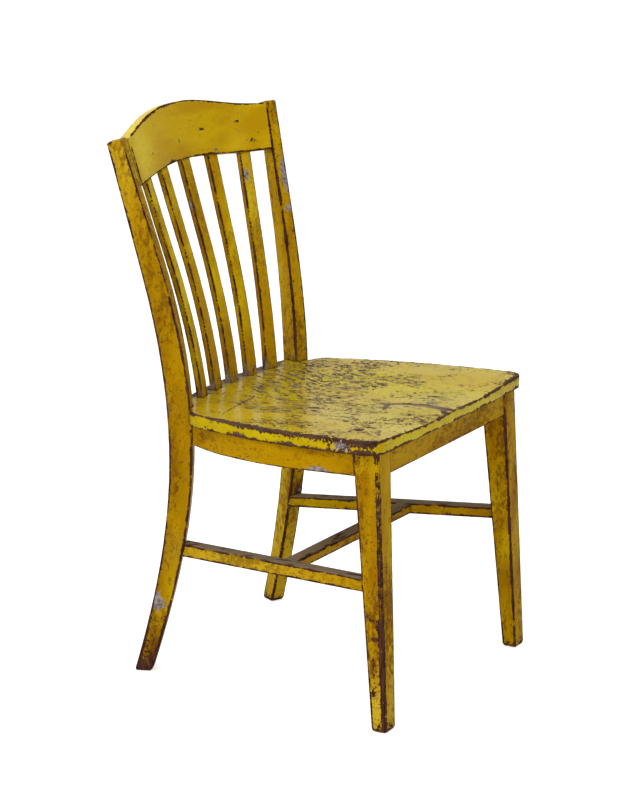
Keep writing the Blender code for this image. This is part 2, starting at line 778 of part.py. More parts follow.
def build_side_apron(hand, grow=0.0, material=None):
    leg_z = apron_middle_z(LEG_TOP_Y)
    start = leg_front_y(leg_z) + leg_depth(leg_z) - ROOT_OVERLAP
    end = post_point(LEFT, 1.0, -1.0, apron_middle_z(POST_Y)).y + APRON_THICKNESS
    rings = []
    for step in range(SIDE_APRON_STEPS + 1):
        y = blend(start, end, step / SIDE_APRON_STEPS)
        outline = rounded_rectangle(APRON_THICKNESS + 2 * grow, APRON_HEIGHT + 2 * grow,
                                    [APRON_ROUND] * 4, 1)
        ring = []
        for across, up in outline:
            x, bowed_y = side_apron_point(hand, y, APRON_THICKNESS / 2 - across)
            ring.append(Vector((x, bowed_y, apron_middle_z(bowed_y) + up)))
        rings.append(ring)
    return loft("apron_" + SIDE_NAMES[hand], rings, material)


def side_apron_landing(hand):
    """Where the middle of the side apron's thickness meets the post's front face."""
    face = post_point(hand, 0.0, -1.0, apron_middle_z(POST_Y))
    outward = post_axes(hand, face.z)[1]
    facing = Vector((-outward.y, outward.x, 0.0)) * hand
    start = face.y - APRON_REAR_LAND
    for step in range(APRON_LANDING_STEPS):
        outer_y = start + 2 * APRON_REAR_LAND * step / APRON_LANDING_STEPS
        x, y = side_apron_point(hand, outer_y, APRON_THICKNESS / 2)
        if (Vector((x, y, face.z)) - face).dot(facing) >= 0.0:
            break
    return x, y


def side_apron_tenon(hand, at_leg, grow=0.0):
    if at_leg:
        leg_z = apron_middle_z(LEG_TOP_Y)
        leg_y = leg_front_y(leg_z) + leg_depth(leg_z)
        x, y = side_apron_point(hand, leg_y, APRON_THICKNESS / 2 + APRON_TENON_OFFSET)
        direction = Vector((0.0, -1.0, 0.0))
        length = APRON_TENON_LENGTH
    else:
        x, y = side_apron_landing(hand)
        direction = post_axes(hand, apron_middle_z(POST_Y))[0]
        length = APRON_REAR_TENON_LENGTH
    centre = Vector((x, y, apron_middle_z(y)))
    sideways = Vector((direction.y, -direction.x, 0.0))
    end = centre + direction * (length + grow)
    return block_between("tenon", centre - direction * TENON_ROOT, end, sideways,
                         APRON_TENON_THICKNESS + 2 * grow, APRON_TENON_HEIGHT + 2 * grow)


def build_front_apron(grow=0.0, material=None):
    leg_z = apron_middle_z(LEG_TOP_Y)
    reach = leg_outer_x(leg_z) - leg_width(leg_z) + ROOT_OVERLAP
    lean = (LEG_FOOT_Y - LEG_TOP_Y) / seat_under(LEG_TOP_Y)
    rings = []
    for x in (-reach, reach):
        ring = []
        for across, up in rounded_rectangle(APRON_THICKNESS + 2 * grow, APRON_HEIGHT + 2 * grow,
                                            [APRON_ROUND] * 4, 1):
            y = LEG_TOP_Y + APRON_INSET + APRON_THICKNESS / 2 + across
            drop = APRON_HEIGHT / 2 - up
            ring.append(Vector((x, y + lean * drop, apron_middle_z(y) + up)))
        rings.append(ring)
    return loft("apron_front", rings, material)


def front_apron_tenon(hand, grow=0.0):
    y = LEG_TOP_Y + APRON_INSET + APRON_THICKNESS / 2 + APRON_TENON_OFFSET
    z = apron_middle_z(y)
    inner_x = leg_outer_x(z) - leg_width(z)
    start = Vector((hand * (inner_x - ROOT_OVERLAP), y, z))
    end = Vector((hand * (inner_x + APRON_TENON_LENGTH + grow), y, z))
    return block_between("tenon", start, end, Vector((0, 1, 0)),
                         APRON_TENON_THICKNESS + 2 * grow, APRON_TENON_HEIGHT + 2 * grow)


def build_rear_apron(grow=0.0, material=None):
    z = apron_middle_z(REAR_APRON_Y)
    reach = post_centre(LEFT, z).x
    rings = []
    for x in (-reach, reach):
        ring = []
        for across, up in rounded_rectangle(APRON_THICKNESS + 2 * grow, APRON_HEIGHT + 2 * grow,
                                            [APRON_ROUND] * 4, 1):
            y = REAR_APRON_Y + across
            ring.append(Vector((x, y, apron_middle_z(y) + up)))
        rings.append(ring)
    return loft("apron_rear", rings, material)


def rear_apron_tenon(hand, grow=0.0):
    z = apron_middle_z(REAR_APRON_Y)
    face = post_point(hand, -1.0, 0.0, z)
    start = Vector((face.x - hand * ROOT_OVERLAP, REAR_APRON_Y, z))
    end = Vector((face.x + hand * (APRON_REAR_TENON_LENGTH + grow), REAR_APRON_Y, z))
    return block_between("tenon", start, end, Vector((0, 1, 0)),
                         APRON_TENON_THICKNESS + 2 * grow, APRON_TENON_HEIGHT + 2 * grow)


# Stretchers


def side_stretcher_ends(hand):
    """Middle points of the side stretcher at the post's front face and at the leg's rear face."""
    rear_z = STRETCHER_REAR_Z_LEFT if hand == LEFT else STRETCHER_REAR_Z_RIGHT
    front_z = STRETCHER_FRONT_Z_LEFT if hand == LEFT else STRETCHER_FRONT_Z_RIGHT
    arris = post_point(hand, 1.0, -1.0, rear_z)
    face = post_point(hand, 0.0, -1.0, rear_z)
    rear_x = abs(arris.x) - STRETCHER_REAR_INSET - STRETCHER_WIDTH / 2
    front_x = leg_outer_x(front_z) - STRETCHER_FRONT_INSET - STRETCHER_WIDTH / 2
    front_y = leg_front_y(front_z) + leg_depth(front_z)
    rear = Vector((hand * rear_x, face.y, rear_z))
    front = Vector((hand * front_x, front_y, front_z))
    return rear, front


def stretcher_at(hand, y):
    rear, front = side_stretcher_ends(hand)
    return rear.lerp(front, (y - rear.y) / (front.y - rear.y))


def bar_rings(points, width, height, radius):
    """Rounded sections square to a straight bar that runs level enough to keep them upright."""
    along = (points[-1] - points[0]).normalized()
    sideways = Vector((along.y, -along.x, 0.0)).normalized()
    upward = sideways.cross(along)
    rings = []
    for point in points:
        rings.append([point + sideways * across + upward * up
                      for across, up in rounded_rectangle(width, height, [radius] * 4)])
    return rings


def build_side_stretcher(hand, grow=0.0, material=None):
    rear, front = side_stretcher_ends(hand)
    along = (front - rear).normalized()
    points = [rear - along * ROOT_OVERLAP, rear.lerp(front, 0.5), front + along * ROOT_OVERLAP]
    height = STRETCHER_HEIGHT_LEFT if hand == LEFT else STRETCHER_HEIGHT_RIGHT
    rings = bar_rings(points, STRETCHER_WIDTH + 2 * grow, height + 2 * grow, STRETCHER_ROUND)
    return loft("side_stretcher_" + SIDE_NAMES[hand], rings, material)


def side_stretcher_tenon(hand, at_leg, grow=0.0):
    rear, front = side_stretcher_ends(hand)
    along = (front - rear).normalized()
    direction = along if at_leg else -along
    face = front if at_leg else rear
    length = STRETCHER_TENON_LENGTH if at_leg else STRETCHER_REAR_TENON_LENGTH
    end = face + direction * (length + grow)
    return block_between("tenon", face - direction * ROOT_OVERLAP, end, Vector((1, 0, 0)),
                         STRETCHER_TENON_THICKNESS + 2 * grow, STRETCHER_TENON_HEIGHT + 2 * grow)


def build_cross_stretcher(material=None):
    right = stretcher_at(RIGHT, CROSS_STRETCHER_Y)
    left = stretcher_at(LEFT, CROSS_STRETCHER_Y)
    rings = bar_rings([right, left], STRETCHER_WIDTH, CROSS_STRETCHER_HEIGHT, STRETCHER_ROUND)
    return loft("cross_stretcher", rings, material)


def cross_tenon(hand, grow=0.0):
    middle = stretcher_at(hand, CROSS_STRETCHER_Y)
    inner = middle - Vector((hand * STRETCHER_WIDTH / 2, 0, 0))
    start = inner - Vector((hand * ROOT_OVERLAP, 0, 0))
    end = inner + Vector((hand * (CROSS_TENON_LENGTH + grow), 0, 0))
    return block_between("tenon", start, end, Vector((0, 1, 0)),
                         STRETCHER_TENON_THICKNESS + 2 * grow, STRETCHER_TENON_HEIGHT + 2 * grow)


# Corner blocks, screws and the repair bolt


def prism(name, outline, material):
    rings = []
    for level in (-BLOCK_HEIGHT, 0.0):
        rings.append([Vector((x, y, apron_top(y) + level)) for x, y in outline])
    return loft(name, rings, material)


def front_block_outline(hand):
    leg_z = apron_middle_z(LEG_TOP_Y)
    inner_x = leg_outer_x(leg_z) - leg_width(leg_z)
    rear_y = leg_front_y(leg_z) + leg_depth(leg_z)
    depth = APRON_THICKNESS * BLOCK_APRON_SHARE
    apron_y = LEG_TOP_Y + APRON_INSET + depth
    points = [(inner_x - BLOCK_FRONT_REACH, apron_y),
              (inner_x + BLOCK_LEG_LAP, apron_y),
              side_apron_point(1, rear_y - BLOCK_LEG_LAP, depth),
              side_apron_point(1, rear_y + BLOCK_FRONT_REACH, depth)]
    return [(hand * x, y) for x, y in points]


def rear_block_outline(hand):
    z = apron_middle_z(POST_Y)
    middle = post_centre(LEFT, z)
    arris = post_point(LEFT, -1.0, -1.0, z)
    depth = APRON_THICKNESS * BLOCK_APRON_SHARE
    points = [(arris.x - BLOCK_REAR_ACROSS, REAR_APRON_Y),
              (middle.x - BLOCK_POST_LAP, REAR_APRON_Y),
              (middle.x - BLOCK_POST_LAP, middle.y),
              side_apron_point(1, arris.y - BLOCK_ARRIS_LAP, depth),
              side_apron_point(1, arris.y - BLOCK_REAR_ALONG, depth)]
    return [(hand * x, y) for x, y in points]


def build_corner_block(hand, at_front):
    place = "front" if at_front else "rear"
    outline = front_block_outline(hand) if at_front else rear_block_outline(hand)
    name = "corner_block_%s_%s" % (place, SIDE_NAMES[hand])
    block = prism(name, outline, bare_wood(name))
    cut(block, build_side_apron(hand, CLEARANCE))
    if at_front:
        cut(block, build_leg(hand, CLEARANCE))
        cut(block, build_front_apron(CLEARANCE))
    else:
        cut(block, build_post(hand, CLEARANCE))
        cut(block, build_rear_apron(CLEARANCE))
    cut(block, screw_shape("hole", screw_place(hand, at_front), CLEARANCE))
    return block


def screw_place(hand, at_front):
    """Centre of the block's underside, where the screw's head bears."""
    x = SCREW_FRONT_X if at_front else SCREW_REAR_X
    y = SCREW_FRONT_Y if at_front else SCREW_REAR_Y
    return Vector((hand * x, y, apron_top(y) - BLOCK_HEIGHT))


def screw_places():
    return [screw_place(hand, at_front) for hand in (LEFT, RIGHT) for at_front in (True, False)]


def screw_shape(name, place, grow=0.0, material=None):
    """A round-headed wood screw that points up, its head below the block."""
    shank = BLOCK_HEIGHT + SCREW_BITE
    radius = SCREW_RADIUS + grow
    slope_room = SCREW_HEAD_RADIUS * SEAT_FALL + CLEARANCE - grow
    profile = [(-SCREW_HEAD_HEIGHT - slope_room, SCREW_CROWN_RADIUS),
               (-SCREW_SHOULDER_HEIGHT - slope_room, SCREW_SHOULDER_RADIUS),
               (-slope_room, SCREW_HEAD_RADIUS),
               (-slope_room, radius),
               (shank - SCREW_POINT_LENGTH, radius),
               (shank + grow, SCREW_POINT_RADIUS + grow)]
    return turned(name, profile, place, Vector((0, 0, 1)), material, SCREW_SIDES)


def build_screws():
    for hand in (LEFT, RIGHT):
        for at_front in (True, False):
            place = "front" if at_front else "rear"
            name = "seat_screw_%s_%s" % (place, SIDE_NAMES[hand])
            screw_shape(name, screw_place(hand, at_front), 0.0, rusted_steel(name))


def bolt_frame():
    """Middle of the bolt's washer on the left post's front face, and the way out of that face."""
    middle = post_point(LEFT, BOLT_ACROSS, -1.0, BOLT_Z)
    above = post_point(LEFT, BOLT_ACROSS, -1.0, BOLT_Z + WASHER_RADIUS)
    outward = post_axes(LEFT, BOLT_Z)[1]
    return middle, outward.cross(above - middle).normalized()


def build_repair_bolt(grow=0.0, material=None):
    face, out = bolt_frame()
    end = BOLT_PROUD + WASHER_THICKNESS
    profile = [(-BOLT_LENGTH - grow, BOLT_RADIUS + grow),
               (end - BOLT_CHAMFER, BOLT_RADIUS + grow),
               (end, BOLT_RADIUS - BOLT_CHAMFER)]
    return turned("repair_bolt", profile, face, out, material)


def build_repair_washer():
    face, out = bolt_frame()
    profile = [(CLEARANCE, WASHER_RADIUS), (WASHER_THICKNESS, WASHER_RADIUS - WASHER_CHAMFER)]
    washer = turned("repair_washer", profile, face, out, rusted_steel("repair_washer"))
    cut(washer, build_repair_bolt(CLEARANCE))
    return washer


# Assembly


def build_frame_side(hand):
    side = SIDE_NAMES[hand]
    post = build_post(hand, 0.0, painted_wood("rear_post_" + side))
    leg = build_leg(hand, 0.0, painted_wood("front_leg_" + side))
    apron = build_side_apron(hand, 0.0, painted_wood("apron_" + side))
    stretcher = build_side_stretcher(hand, 0.0, painted_wood("side_stretcher_" + side))
    for rail, tenon in ((apron, side_apron_tenon), (stretcher, side_stretcher_tenon)):
        cut(rail, beyond_leg(hand, "rear"))
        cut(rail, beyond_post(hand, "front"))
        for at_leg, support in ((True, leg), (False, post)):
            join(rail, tenon(hand, at_leg))
            cut(support, tenon(hand, at_leg, CLEARANCE))
    return post, leg, stretcher


def tenon_into(rail, supports, tenon):
    for hand, support in supports.items():
        join(rail, tenon(hand))
        cut(support, tenon(hand, CLEARANCE))


def build_chair():
    clear_scene()
    posts = {}
    legs = {}
    stretchers = {}
    for hand in (LEFT, RIGHT):
        posts[hand], legs[hand], stretchers[hand] = build_frame_side(hand)
    build_seat()
    for number in range(SLAT_COUNT):
        build_slat(number, 0.0, painted_wood("slat_%d" % (number + 1)))
    crest = build_crest_rail()
    front = build_front_apron(0.0, painted_wood("apron_front"))
    rear = build_rear_apron(0.0, painted_wood("apron_rear"))
    cross = build_cross_stretcher(painted_wood("cross_stretcher"))
    for hand in (LEFT, RIGHT):
        cut(crest, beyond_post(hand, "inner"))
        cut(front, beyond_leg(hand, "inner"))
        cut(rear, beyond_post(hand, "inner"))
        cut(cross, build_side_stretcher(hand, CLEARANCE))
    tenon_into(crest, posts, crest_tenon)
    tenon_into(front, legs, front_apron_tenon)
    tenon_into(rear, posts, rear_apron_tenon)
    tenon_into(cross, stretchers, cross_tenon)
    for hand in (LEFT, RIGHT):
        for at_front in (True, False):
            build_corner_block(hand, at_front)
    build_screws()
    build_repair_bolt(0.0, rusted_steel("repair_bolt"))
    build_repair_washer()
    cut(posts[LEFT], build_repair_bolt(CLEARANCE))
    centre_over_floor()


def centre_over_floor():
    """Hang every piece on one empty and move it so that the chair's box is centred on the origin."""
    pieces = [thing for thing in bpy.data.objects if thing.type == "MESH"]
    depths = [vertex.co.y for piece in pieces for vertex in piece.data.vertices]
    chair = bpy.data.objects.new("chair", None)
    bpy.context.scene.collection.objects.link(chair)
    chair.location = (0.0, -0.5 * (min(depths) + max(depths)), 0.0)
    for piece in pieces:
        piece.parent = chair


build_chair()
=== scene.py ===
"""Looks of the painted chair: worn copies of its wooden pieces, paint, bare wood, rust and light.

Each wooden piece is a merged copy of its CAD solid, remeshed finely and rubbed down on its arrises.
Every point of it then carries how far it is from an arris and from the next piece, and how worn,
chipped or primed the wood is there, and the paint reads those figures.
"""

import math

import bmesh
import bpy
import numpy as np
from mathutils import Matrix, Vector, kdtree
from mathutils.bvhtree import BVHTree


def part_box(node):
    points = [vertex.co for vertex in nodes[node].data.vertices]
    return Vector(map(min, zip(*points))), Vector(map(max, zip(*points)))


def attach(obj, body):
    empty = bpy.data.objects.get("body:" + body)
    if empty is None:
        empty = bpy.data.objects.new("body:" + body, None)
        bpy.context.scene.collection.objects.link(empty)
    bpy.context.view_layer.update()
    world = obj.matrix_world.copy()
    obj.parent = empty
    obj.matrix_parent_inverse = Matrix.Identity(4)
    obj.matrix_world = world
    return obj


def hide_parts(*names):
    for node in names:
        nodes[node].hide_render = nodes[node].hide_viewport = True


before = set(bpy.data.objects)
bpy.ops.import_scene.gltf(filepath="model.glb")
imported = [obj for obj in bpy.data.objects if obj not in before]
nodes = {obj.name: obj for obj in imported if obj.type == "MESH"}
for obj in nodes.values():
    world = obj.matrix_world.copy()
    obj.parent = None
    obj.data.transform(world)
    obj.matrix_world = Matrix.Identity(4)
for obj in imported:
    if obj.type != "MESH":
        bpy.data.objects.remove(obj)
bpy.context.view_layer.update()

# Camera, solved from the seat, posts, legs and slats of the photograph
CAMERA_AZIMUTH = math.radians(-60.6799)
CAMERA_ELEVATION = math.radians(15.4294)
CAMERA_ROLL = math.radians(1.4193)
CAMERA_DISTANCE = 4.5051
CAMERA_TARGET = Vector((0.0, -0.00158, 0.4072))
CAMERA_LENS = 128.57
CAMERA_SENSOR = 36.0

# Size of the squares of the fine meshes, in metres
SLAT_GRID = 0.0012
POST_GRID = 0.0015
FINE_GRID = 0.0014
SEAT_GRID = 0.0023

# How much the fine meshes are smoothed before they are drawn back onto the solid
SMOOTH_FACTOR = 0.5

# Nicks in the rubbed arrises: their depth and size, how far from the arris they reach, and their steps
RUB_DEPTH = 0.0004
RUB_SIZE = 0.009
RUB_REACH = 0.0026
RUB_LEVELS = 10

# Slight waves in the faces
WAVE_DEPTH = 0.0002
WAVE_SIZE = 0.045

# Loose triangles of a CAD solid are joined where they meet this closely
MERGE_DISTANCE = 0.00002

# An arris is an outer edge at least this sharp, away from a joint, and distances are measured this far
ARRIS_ANGLE = math.radians(21)
ARRIS_STEP = 0.0015
ARRIS_FAR = 0.03
JOINT_FAR = 0.02
JOINT_EDGE = 0.0008

# The paint reads its distances from an arris and from a joint in millimetres
MILLIMETRES = 1000.0

# The chair's axes: across it, front to back, and up
ACROSS, ALONG, UP = 0, 1, 2

# What each point of a painted piece knows of its wear, and of its painted light and shade, and how sharply a
# face's turn tells in it
FIGURES = ("wear", "chips", "flaked", "primer", "dust", "faded_and_lit", "grime_and_shade")
TURN_POWER = 3

# Colours of the paint
SEAT_LEMON = (0.51, 0.405, 0.003)
SEAT_YELLOW = (0.49, 0.345, 0.002)
# Paler paint where it has faded, also used as painted light and a painted highlight in two places
FADED_AND_LIT = (0.72, 0.56, 0.04)
# Brown of dirt, also used as painted shade on the slats' side faces
BROWN_DIRT_AND_SHADE = (0.19, 0.080, 0.002)
FRESH_LEMON = (0.60, 0.42, 0.002)
LEMON = (0.52, 0.335, 0.002)
YELLOW = (0.42, 0.232, 0.001)
OCHRE = (0.30, 0.130, 0.001)
STAIN = (0.13, 0.050, 0.004)
PRIMER = (0.29, 0.26, 0.235)
PRIMER_DARK = (0.16, 0.12, 0.11)
TINGE = (0.85, 0.55, 0.03)
NO_TINGE = (1.0, 1.0, 1.0)

# Colours of the bare wood and of the dirt
WOOD_DARK = (0.030, 0.010, 0.006)
WOOD_RED = (0.085, 0.034, 0.020)
WOOD_DUSTY = (0.21, 0.155, 0.105)
GRIME = (0.040, 0.018, 0.007)
BLOCK_DARK = (0.10, 0.048, 0.022)
BLOCK_PALE = (0.30, 0.17, 0.085)

# Colours of the rust and of the steel under it
RUST_DEEP = (0.05, 0.022, 0.012)
SCREW_RUST = (0.16, 0.06, 0.03)
SCREW_STEEL = (0.25, 0.23, 0.21)
BOLT_RUST = (0.28, 0.11, 0.055)
BOLT_STEEL = (0.20, 0.11, 0.07)
WASHER_RUST = (0.06, 0.035, 0.025)
WASHER_STEEL = (0.05, 0.045, 0.04)

# How much a pattern is squeezed along the wood, how far the blotches are shifted, and the flakes' turn
GRAIN = 0.28
FINE_GRAIN = 0.12
BLOCK_GRAIN = 0.08
BLOTCH_GRAIN = 0.6
BLOTCH_SHIFT = (0.31, 0.17, 0.23)
FLAKE_GRAIN = 0.5
FLAKE_TURN = (0.0, 0.0, 0.14)

# Width in millimetres of bare wood that every arris has, and how far the seat's lines wander in metres
LEAST_BAND = 0.3
LINE_WOBBLE = 0.007

# Loss at which the paint darkens towards its rim in a painted shadow of the raised paint edge, still holds,
# and is gone
RIM_STARTS = 0.30
PAINT_HOLDS = 0.48
PAINT_GONE = 0.52

# Light and background
WHITE = (1.0, 1.0, 1.0, 1.0)
FLOOR_SIZE = 30.0
FLOOR_COLOUR = (0.80, 0.80, 0.80, 1.0)
FLOOR_ROUGHNESS = 0.9
FLOOR_GLOW = 0.60
SKY_FILL = 0.62
SKY_SEEN = 1.0

# Lamps: name, place, what it points at, size and power
LAMPS = (
    ("key_softbox", (-2.2, 0.6, 2.6), (0.0, 0.0, 0.4), 1.6, 33.0),
    ("top_softbox", (0.4, -0.4, 3.2), (0.0, 0.0, 0.3), 2.0, 20.0),
    ("low_softbox", (-2.4, -0.9, 0.9), (0.0, 0.0, 0.3), 1.6, 20.0),
)


# Placing and copying


def select_only(thing):
    bpy.ops.object.select_all(action="DESELECT")
    thing.select_set(True)
    bpy.context.view_layer.objects.active = thing


def merged_copy(node, name):
    """A copy of a CAD solid with its loose triangles joined up."""
    select_only(nodes[node])
    bpy.ops.object.duplicate()
    piece = bpy.context.object
    piece.name = name
    piece.data.name = name
    for key in list(piece.keys()):
        del piece[key]
    piece.parent = None
    bpy.ops.object.mode_set(mode="EDIT")
    bpy.ops.mesh.select_all(action="SELECT")
    bpy.ops.mesh.remove_doubles(threshold=MERGE_DISTANCE)
    bpy.ops.object.mode_set(mode="OBJECT")
    return piece


def apply_modifier(piece, kind, **settings):
    modifier = piece.modifiers.new(kind.lower(), kind)
    for name, value in settings.items():
        setattr(modifier, name, value)
    select_only(piece)
    bpy.ops.object.modifier_apply(modifier=modifier.name)


def read_points(piece, name):
    """One row of three numbers for each point: its place, "co", or its normal."""
    rows = np.zeros(len(piece.data.vertices) * 3, np.float32)
    piece.data.vertices.foreach_get(name, rows)
    return rows.reshape(-1, 3)


def write_figures(piece, name, figures):
    """Keep one number for each point, under a name that the paint reads."""
    attribute = piece.data.attributes.new(name, "FLOAT", "POINT")
    attribute.data.foreach_set("value", np.asarray(figures, np.float32))


# What lies round each piece


def neighbour_tree(node):
    """Surfaces of every other CAD solid that comes near this one."""
    low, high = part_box(node)
    corners = []
    faces = []
    for other, thing in nodes.items():
        other_low, other_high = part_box(other)
        apart = any(other_low[axis] > high[axis] + JOINT_FAR or other_high[axis] < low[axis] - JOINT_FAR
                    for axis in (ACROSS, ALONG, UP))
        if other == node or apart:
            continue
        start = len(corners)
        corners += [vertex.co.copy() for vertex in thing.data.vertices]
        faces += [[start + index for index in face.vertices] for face in thing.data.polygons]
    return BVHTree.FromPolygons(corners, faces)


def arris_tree(piece, neighbours):
    """Points along the piece's outer arrises, without those that lie in a joint."""
    mesh = bmesh.new()
    mesh.from_mesh(piece.data)
    places = []
    for edge in mesh.edges:
        if len(edge.link_faces) != 2 or edge.calc_face_angle_signed(0.0) < ARRIS_ANGLE:
            continue
        first, last = edge.verts[0].co, edge.verts[1].co
        steps = max(1, int((last - first).length / ARRIS_STEP))
        places += [first.lerp(last, (step + 0.5) / steps) for step in range(steps)]
    mesh.free()
    kept = [place for place in places if neighbours.find_nearest(place, JOINT_EDGE)[0] is None]
    tree = kdtree.KDTree(len(kept))
    for index, place in enumerate(kept):
        tree.insert(place, index)
    tree.balance()
    return tree


def arris_distances(piece, tree):
    """Metres from each point to the nearest arris."""
    return [min(tree.find(vertex.co)[2], ARRIS_FAR) for vertex in piece.data.vertices]


def joint_distances(piece, tree):
    """Metres from each point to the nearest other piece."""
    distances = []
    for vertex in piece.data.vertices:
        found = tree.find_nearest(vertex.co, JOINT_FAR)
        distances.append(JOINT_FAR if found[0] is None else found[3])
    return distances


# Middle of the washer on the left rear post
BOLT_PLACE = tuple((low + high) / 2 for low, high in zip(*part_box("repair_washer")))
